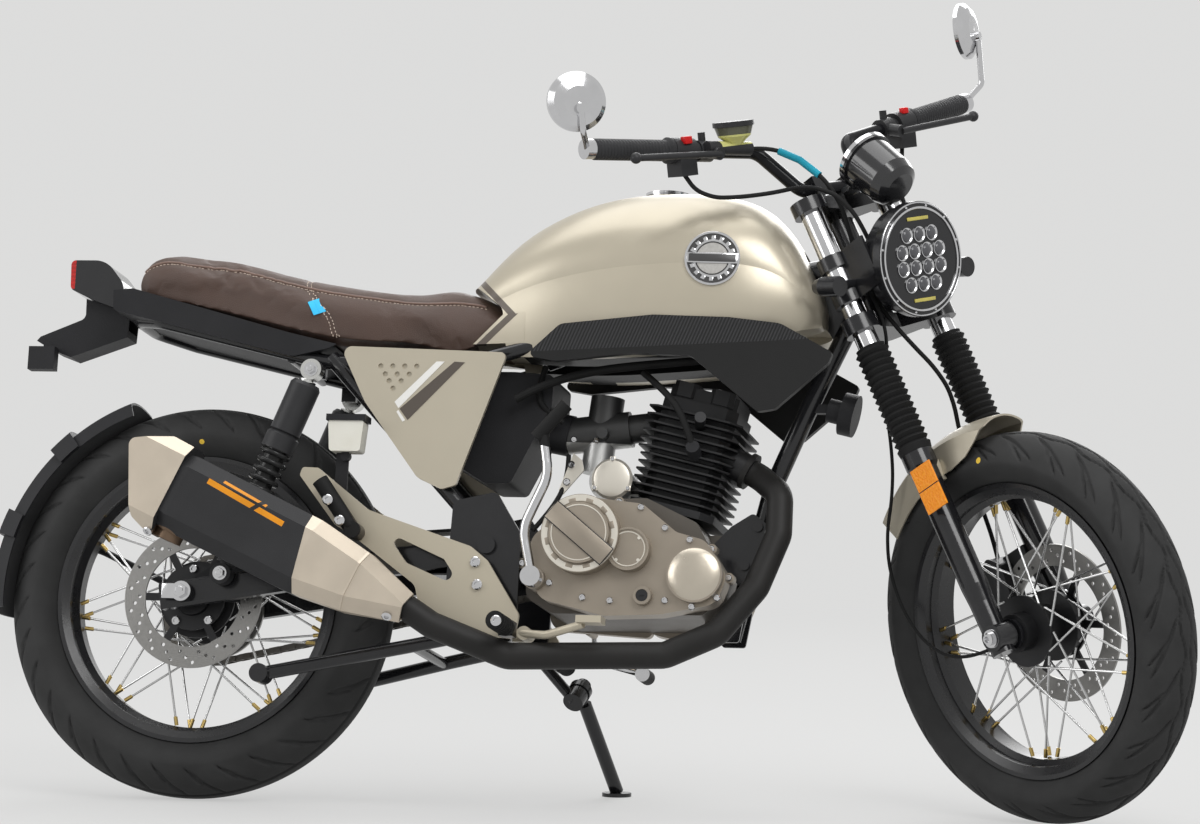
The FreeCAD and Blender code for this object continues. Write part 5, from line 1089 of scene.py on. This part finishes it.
cream = single("cream thread", rubbery, (0.42, 0.35, 0.29, 1), 0.6)
piping, sewing, tab = shapes(3)
for side in (-1, 1):
    laid = settle(edge_lines[side], 0.5)
    thread(piping, laid[::2], 2.3)
    stitches(sewing, laid, side * -4.4, 3.2, 1.6)
laid = settle(cross_line, 0.1)
for offset in (-3.2, 3.2):
    stitches(sewing, laid, offset, 3.0, 1.2, 0.65)
pieces(BIKE, "chassis", 60,
       ("seat_piping", piping, leather("piping leather", (0.15, 0.09, 0.068, 1)), "brown_leather"),
       ("seat_stitches", sewing, cream, "brown_leather"))

at, facing = settle([Vector((196, -140, 788))], 0.6)[0]
side = facing.cross(Vector((0.42, 0, -0.91))).normalized()
tab_board = Matrix((side, facing.cross(side), facing)).transposed().to_4x4()
tab_board.translation = at
block(tab, (21, 27, 1.4), tab_board, 0.5)
block(tab, (2.0, 24, 2.2), tab_board, 0.4)
sky = single("blue tab", rubbery, (0.03, 0.30, 0.50, 1), 0.45)
piece("seat_tab", tab, BIKE, "chassis", sky, "brown_leather")
print("pieces sewn onto the pad: 3")

# %% [markdown]
# ## Engine covers
# The clutch side is what the eye lands on: a pale ring with lugs round the big cap, a thinner ring with four
# nubs round the small one, a turned dome, and a strap across the big cap. Every ring is one turned profile,
# the lugs are small blocks set round a circle, and all socket bolts share one shape.

# %% Rings, arcs and bolts of the right-hand cover
RIGHT = Vector((0, -1, 0))
LEFT = -RIGHT
FACE_BIG, FACE_RIM, FACE_SMALL, FACE_DOME, FACE_PLUG, LUG_FACE = 170.3, 178.3, 162.3, 158.3, 152.3, 119


def ring(shape, at, axis, inner, outer, height, steps=72, bevel=0.4):
    """Flat washer standing on a face, its corners eased."""
    turned(shape, [(inner, 0), (inner, height - bevel), (inner + bevel, height), (outer - bevel, height),
                   (outer, height - bevel), (outer, 0)], at, axis, steps)


def around_circle(at, axis, radius, count, start=0.0):
    """Even places round an axis, in millimetres and degrees."""
    across = Vector((0, 1, 0)).cross(axis) if abs(axis.y) < 0.9 else Vector((1, 0, 0))
    across.normalize()
    other = axis.cross(across)
    for k in range(count):
        angle = math.radians(start + 360 * k / count)
        yield at + (across * math.cos(angle) + other * math.sin(angle)) * radius


def on_right(x, face, z):
    return Vector((x, -face, z))


pale, dark, bright, lugs, smooth_dome, strap_bar = shapes(6)
notched, small = on_right(652, FACE_BIG, 415), on_right(728, FACE_SMALL, 393)
plug = on_right(752, FACE_PLUG, 322)
ring(pale, on_right(652, FACE_RIM, 415), RIGHT, 42.5, 44.5, 1.0)
ring(pale, notched, RIGHT, 50.5, 61, 1.4)
for place in around_circle(notched, RIGHT, 52.4, 12, 15):
    facing = Matrix.Rotation(math.atan2(place.z - notched.z, place.x - notched.x), 4, "Y").inverted()
    block(lugs, (7.5, 3.4, 12), Matrix.Translation(place) @ facing, 0.6)
ring(pale, small, RIGHT, 26, 28, 1.0)
for place in around_circle(small, RIGHT, 24.6, 4, 45):
    rod(pale, place, place + RIGHT * 1.0, 2.6, 16)
ring(lugs, small, RIGHT, 30.5, 34, 2.2)
turned(smooth_dome, [(0, 8), (14, 7.6), (27, 6), (36, 3.4), (41, 0), (0, 0)], on_right(834, FACE_DOME, 356),
       RIGHT, 72)
ring(lugs, plug, RIGHT, 9.5, 14.5, 1.6)
ring(dark, plug, RIGHT, 0.5, 9.5, 0.8)
block(dark, (7, 3, 1.6), Matrix.Translation(plug + RIGHT * 1.3), 0.3)
strap = Matrix.Translation(on_right(653, FACE_RIM + 1.6, 414)) @ Matrix.Rotation(math.radians(39), 4, "Y")
block(dark, (119, 2.4, 34), strap, 0.5)
block(strap_bar, (117, 3.6, 31), strap, 0.8)
for x, z in ((552, 374), (602, 340), (656, 318), (700, 314), (787, 316), (830, 307), (869, 322), (882, 357),
             (853, 402), (822, 412), (782, 430), (742, 462), (702, 474)):
    at, _ = touch("engine_covers", BIKE, (x, -240, z), LEFT)
    if at is None or at.y > -LUG_FACE:
        at = on_right(x, LUG_FACE, z)
        rod(lugs, on_right(x, 98, z), at, 8, 24)
    socket_head(bright, at, RIGHT, 5.4)
rod(lugs, on_right(744, 141, 391), on_right(744, 153, 391), 9, 24)
socket_head(bright, on_right(744, 153, 391), RIGHT, 5)
pale_metal = single("pale turned metal", painted, (0.72, 0.68, 0.60, 1), 0.3, 0.7, 0.0)
pale_bronze = single("pale bronze", cast, (0.52, 0.47, 0.39, 1), 0.3)
print("bolts on the right-hand cover: 14")

# %% Bolts of the left-hand generator cap
generator_bright = bmesh.new()
for place in around_circle(Vector((796, 300, 360)), LEFT, 50, 6, 30):
    at, _ = touch("engine_covers", BIKE, place, RIGHT)
    socket_head(generator_bright, at, LEFT, 5.4)
pieces(BIKE, "chassis", 30,
       ("cover_strap", strap_bar, bronze, "engine_bronze"),
       ("cover_rings", pale, pale_metal, "engine_bronze"),
       ("cover_lugs", lugs, bronze, "engine_bronze"),
       ("cover_dome", smooth_dome, pale_bronze, "engine_bronze"),
       ("cover_dark_rings", dark, black_enamel, "engine_bronze"),
       ("cover_bolts", bright, chrome, "chrome"),
       ("generator_bolts", generator_bright, chrome, "chrome"))

# %% [markdown]
# ## Tank badge, side covers and silencer
# Badges are round plates that follow the tank where rays find it. They stay bare: a bright rim, a toothed
# ring and an empty bar. Stripes on the side covers are thin plates cut to their outline.

# %% Bare round badge on each side of the tank
def spun(degrees):
    return Matrix.Rotation(math.radians(degrees), 4, "Z")


def stand(at, facing, along=(1, 0, 0)):
    """Board on a surface: Z points off it, and X follows a direction."""
    across = facing.cross(Vector(along)).normalized()
    matrix = Matrix((across.cross(facing), across, facing)).transposed().to_4x4()
    matrix.translation = at
    return matrix


BADGE_X, BADGE_Z, BADGE_R = 836, 860, 38
OUTSIDE = 400        # rays toward the machine start this far from its middle plane
dark, bright, pale = shapes(3)
turns = [k * math.pi / 4 for k in range(8)]
for side in (-1, 1):
    middle = Vector((BADGE_X, side * OUTSIDE, BADGE_Z))
    aimed = [middle + Vector((math.cos(turn), 0, math.sin(turn))) * BADGE_R for turn in turns]
    around = [touch("fuel_tank", BIKE, at, RIGHT * side)[0] for at in aimed]
    tilts = [(b - a).cross(c - a) for a, b, c in zip(around, around[2:], around[4:])]
    facing = sum(tilts, Vector()).normalized()
    facing *= 1 if facing.y * side > 0 else -1
    centre = sum(around, Vector()) / 8
    crown = touch("fuel_tank", BIKE, middle, RIGHT * side)[0]
    lift = max((at - centre).dot(facing) for at in around + [crown])
    low = centre + facing * (lift - 3.6)
    ring(dark, low, facing, 0.5, 42, 5.4)
    ring(bright, low, facing, 40.5, 44, 7.0)
    ring(bright, low, facing, 27.5, 31, 6.6)
    base = stand(low, facing)
    for k in range(16):
        block(bright, (7, 6.4, 6.2), base @ spun(22.5 * k) @ shifted(33.4, 0, 3.1), 0.4)
    ring(pale, low, facing, 0.5, 25.5, 6.2)
    block(bright, (81, 17, 8.4), base @ shifted(0, 0, 4.2), 0.6)
    block(dark, (75, 12.4, 8.9), base @ shifted(0, 0, 4.45), 0.5)
slate = single("slate enamel", enamelled, (0.035, 0.034, 0.034, 1), 0.3)
satin_steel = single("satin steel", brushed, (0.46, 0.45, 0.43, 1), 0.32)
pieces(BIKE, "chassis", 30,
       ("badge_dark", dark, slate, "black_plastic"),
       ("badge_bright", bright, chrome, "chrome"),
       ("badge_face", pale, satin_steel, "bright_steel"))
print("teeth on each badge: 16")

# %% Rear corner of the tank, which wraps the seat's nose
CORNER_FOOT, CORNER_HEIGHT, CORNER_FRONT = 723, 56, 532
corner = bmesh.new()
for side in (-1, 1):
    made = bmesh.ops.create_grid(corner, x_segments=8, y_segments=8, size=0.5)["verts"]
    for vert in made:
        z = CORNER_FOOT + (vert.co.y + 0.5) * CORNER_HEIGHT
        rear = 436 + (z - CORNER_FOOT) * 1.1
        ahead, at = [touch("fuel_tank", BIKE, (x, side * 300, z), RIGHT * side)[0] for x in (560, 530)]
        x = rear + (vert.co.x + 0.5) * (CORNER_FRONT - rear)
        vert.co = Vector((x, at.y + side * 0.3 + (at.y - ahead.y) / 30 * (530 - x), z))
    faces = list({face for vert in made for face in vert.link_faces})
    bmesh.ops.recalc_face_normals(corner, faces=faces)
    bmesh.ops.solidify(corner, geom=faces, thickness=4)
piece("tank_corner", corner, BIKE, "chassis", tank_paint, "champagne_paint", 30)

# %% Stripes on the side covers
white, umber = shapes(2)
for side in (-1, 1):
    for shape, outline in ((white, [(333, 626), (398, 692), (411, 692), (340, 616)]),
                           (umber, [(342, 615), (356, 597), (444, 691), (427, 692)]),
                           (white, [(337, 610), (340, 613), (352, 597), (348, 594)])):
        plate(shape, outline, side * 133.6, side * 134.7)
white_trim = single("white trim", painted, (0.75, 0.74, 0.71, 1), 0.35, 0.0)
umber_trim = single("umber trim", painted, (0.085, 0.07, 0.058, 1), 0.4, 0.2)
pieces(BIKE, "chassis", 30,
       ("cover_stripes", white, white_trim, "champagne_paint"),
       ("cover_plates", umber, umber_trim, "champagne_paint"))
print("stripes on each side cover: 3")

# %% Bolts of the silencer, the footrest brackets, the wheels and the shocks
bright = bmesh.new()
for x, z in ((368, 270), (-20, 393)):
    at, facing = touch("muffler", BIKE, (x, -OUTSIDE, z), LEFT)
    socket_head(bright, at, facing, 8)
for x, z in ((270, 425), (551, 260), (484, 369), (489, 333), (250, 457)):
    for side in (-1, 1):
        at, _ = touch("footrests", BIKE, (x, side * OUTSIDE, z), RIGHT * side)
        if at and abs(at.y) > 100:
            socket_head(bright, at, LEFT * side, 8.5, 6)
for side in (-1, 1):
    hex_head(bright, Vector((0, side * 128, REAR_R)), LEFT * side, 12, 9)
    block(bright, (40, 3, 24), shifted(-12, side * 127, REAR_R), 0.8)
    for x, z in ((194, 676), (66, 345)):
        rim, _ = touch("shock_absorbers", BIKE, (x + 14, side * OUTSIDE, z), RIGHT * side)
        hex_head(bright, Vector((x, rim.y, z)) if rim else None, LEFT * side, 8.5, 6)
piece("chassis_bolts", bright, BIKE, "chassis", chrome, "chrome", 30)


def disc_bolts(name, node, where, body, at, outward):
    """Five screws that hold a disc to its hub."""
    shape = bmesh.new()
    for place in around_circle(at, outward, 46, 5, 20):
        found, _ = touch(node, where, place, -outward)
        socket_head(shape, found, outward, 7)
    piece(name, shape, where, body, chrome, "chrome", 30)


disc_bolts("rear_disc_bolts", "rear_hub", BIKE, "rear_wheel", Vector((0, -200, REAR_R)), RIGHT)
disc_bolts("front_disc_bolts", "front_hub", FORK, "front_wheel", Vector((OFFSET, 200, 0)), LEFT)
bright = bmesh.new()
at, _ = touch("fork_sliders", FORK, (OFFSET, -300, 0), LEFT)
socket_head(bright, at, RIGHT, 10, 7)
for side in (-1, 1):
    for x in (-1, 37):
        at, _ = touch("fork_yokes", FORK, (x, side * 40, 1100), (0, 0, -1))
        socket_head(bright, at, Vector((0, 0, 1)), 6, 6)
piece("fork_bolts", bright, FORK, "fork", chrome, "chrome", 30)
print("bolts on each disc: 5")

# %% [markdown]
# ## Lamp, dial, mirrors and switches
# The headlamp is a black bowl with rows of small round lenses; each lens is a turned dome in a bright cup.
# The dial is a face with raised marks under a thin bezel. Mirrors get a true silvered disc.

# %% Headlamp
black_gloss = single("black gloss", enamelled, (0.008, 0.008, 0.009, 1), 0.07)
cup, dome_lens, bars, dark = shapes(4)
face, _ = touch("headlight", FORK, Vector((131.7, 0, 601.9)) + AHEAD * 300, -AHEAD)
glass_board = stand(face, AHEAD, (0, 1, 0))
ring(dark, face, AHEAD, 0.5, 80, 0.8)
ring(cup, face, AHEAD, 79, 82.5, 3.2)
ring(cup, face, AHEAD, 87.5, 90, 1.6)
for place in around_circle(face, AHEAD, 85, 12, 15):
    turned(cup, [(0, 2.2), (1.6, 2.0), (2.4, 0.8), (2.4, 0), (0, 0)], place, AHEAD, 12)
for row, count in ((39, 3), (13, 4), (-13, 4), (-39, 3)):
    for k in range(count):
        place = glass_board @ Vector(((k - (count - 1) / 2) * 27.5, row, 0.6))
        turned(cup, [(9.5, 0), (12.6, 0.2), (12.6, 2.4), (11.6, 2.6), (9.5, 1.0)], place, AHEAD, 24)
        turned(dome_lens, [(0, 5.4), (3.5, 5.0), (6.8, 3.8), (9.2, 1.8), (9.8, 0), (0, 0)], place, AHEAD, 24)
for row in (64, -64):
    block(bars, (46, 5.5, 2.4), glass_board @ shifted(0, row, 1.4), 0.6)
smoke = single("smoked lens", enamelled, (0.06, 0.06, 0.065, 1), 0.04)
amber_bar = single("amber bars", enamelled, (0.42, 0.36, 0.08, 1), 0.15)
pieces(FORK, "fork", 40,
       ("lamp_bowl", dark, black_gloss, "black_steel"),
       ("lamp_cups", cup, chrome, "chrome"),
       ("lamp_lenses", dome_lens, smoke, "black_steel"),
       ("lamp_bars", bars, amber_bar, "black_steel"))
print("lenses in the headlamp: 14")

# %% Dial
dial_face, ticks, needle = shapes(3)
dial_axis = Vector((-0.509, 0, 0.861))
dial_at = Vector((107.2, 0, 794.2)) - dial_axis * 8
dial = stand(dial_at, dial_axis, (0, 1, 0))
ring(dial_face, dial_at, dial_axis, 0.5, 43.4, 1.0)
for k in range(25):
    size, radius = ((1.0, 4, 0.6), 37) if k % 2 else ((1.6, 7, 0.6), 35.5)
    block(ticks, size, dial @ spun(10 * k - 120) @ shifted(0, radius, 1.2))
block(ticks, (24, 11, 0.6), dial @ shifted(0, -20, 1.2), 0.2)
block(needle, (2.0, 34, 1.0), dial @ spun(118) @ shifted(0, 13, 2.4), 0.3)
turned(needle, [(0, 3.6), (4.2, 3.4), (5, 2.6), (5, 1), (0, 1)], dial_at, dial_axis, 24)
pieces(FORK, "fork", 40,
       ("dial_face", dial_face, black_gloss, "black_plastic"),
       ("dial_marks", ticks, single("dial marks", rubbery, (0.7, 0.7, 0.68, 1), 0.5), "black_plastic"),
       ("dial_needle", needle, single("needle red", enamelled, (0.6, 0.03, 0.01, 1), 0.3), "black_plastic"))
print("marks on the dial: 25")

# %% Mirror glass and buttons, on the board of what is steered
silver, red, blue = shapes(3)
for side, high in ((-1, 1188), (1, 1232)):
    facing = Vector((0.9, side * 0.42, 0.06)).normalized()
    ring(silver, Vector((906, side * 436, high)) - facing * 4.2, -facing, 0.5, 43.5, 0.9, 48, 0.2)
for shape, x, y, size in ((red, 941, -246, (12, 15, 12)), (red, 935, 246, (10, 13, 10)),
                          (blue, 908, 246, (9, 12, 5))):
    at, _ = touch("hand_controls", TURNED, (x, y, 1300), (0, 0, -1))
    block(shape, size, shifted(x, y, at.z + size[2] * 0.3), 1.5)
    print("button lies at", [round(value) for value in at])
pieces(TURNED, "fork", 35,
       ("mirror_glass", silver, single("mirror glass", plated, (0.82, 0.83, 0.84, 1), 0.03), "chrome"),
       ("red_buttons", red, single("red plastic", moulded, (0.42, 0.01, 0.01, 1), 0.35), "black_plastic"),
       ("blue_button", blue, sky, "black_plastic"))

# %% Coloured sleeve near the top of the brake hose, from middle to middle of the hose's straight runs
sea = bmesh.new()
bends = [Vector(row) for row in ((24, -104, 868), (44, -84, 846), (62, -72, 812), (76, -64, 772))]
route = [(a + b) / 2 for a, b in zip(bends, bends[1:])]
for a, b in zip(route, route[1:]):
    rod(sea, a, b, 6.0, 20)
sea_green = single("sea green sleeve", rubbery, (0.01, 0.16, 0.22, 1), 0.3)
piece("hose_sleeve", sea, FORK, "fork", sea_green, "cable_sheath")
print("sleeve is", round(sum((b - a).length for a, b in zip(route, route[1:]))), "mm long")

# %% [markdown]
# ## Carburettor, leads and small fittings
# Between tank and gearbox hang the parts that make an engine look alive: the carburettor's screws, a fuel
# pipe, a plug lead and a loom along the frame. Pipes are swept rings of faces, as the seat's piping is.

# %% Pipes and the plug cap
hoses, alloy_bits, black_bits, bright = shapes(4)
runs = [(5, [(560, -62, 700), (548, -70, 660), (560, -66, 628), (590, -52, 612)]),
        (5.5, [(812, -96, 560), (800, -112, 604), (770, -108, 650), (720, -70, 690)]),
        (4, [(600, -44, 560), (604, -60, 520), (590, -84, 470), (560, -96, 430)]),
        (7, [(520, -96, 640), (560, -92, 664), (640, -84, 690), (740, -74, 704), (860, -66, 716)])]
for radius, points in runs:
    line = smooth_line([Vector(at) for at in points], 28)
    thread(hoses, [(at, Vector((0, 1, 0.001))) for at in line], radius, 12)
rod(black_bits, Vector((812, -84, 556)), Vector((812, -108, 566)), 11, 24)
print("pipes round the carburettor:", len(runs))

# %% Screws, the starter cap and an engine bracket
for x, z in ((604, 590), (640, 590)):
    at, facing = touch("carburettor", BIKE, (x, -300, z), LEFT)
    socket_head(bright, at, facing, 5)
at, _ = touch("starter_motor", BIKE, (678, -300, 519), LEFT)
turned(alloy_bits, [(0, 7), (20, 6.4), (29, 4), (33, 0), (0, 0)], at, RIGHT, 48)
for place in around_circle(at, RIGHT, 31, 3, 210):
    block(alloy_bits, (9, 5, 9), Matrix.Translation(place + RIGHT * 2), 1.2)
    socket_head(bright, place + RIGHT * 4, RIGHT, 3.4, 3)
plate(alloy_bits, [(614, 559), (593, 499), (600, 493), (632, 532), (628, 548)], -72, -67)
for x, z in ((612, 540), (606, 512)):
    socket_head(bright, on_right(x, 72, z), RIGHT, 6)
pieces(BIKE, "chassis", 30,
       ("engine_pipes", hoses, black_rubber, "cable_sheath"),
       ("engine_alloy_bits", alloy_bits, pale_metal, "cast_aluminium"),
       ("plug_cap", black_bits, black_plastic, "black_plastic"),
       ("engine_screws", bright, chrome, "chrome"))

# %% Both boxes, the CAD pieces' and the visual's, and finish
boxes = {"cad": cad_bounds, "visual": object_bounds()}
{name: [list(corner) for corner in box] for name, box in boxes.items()}
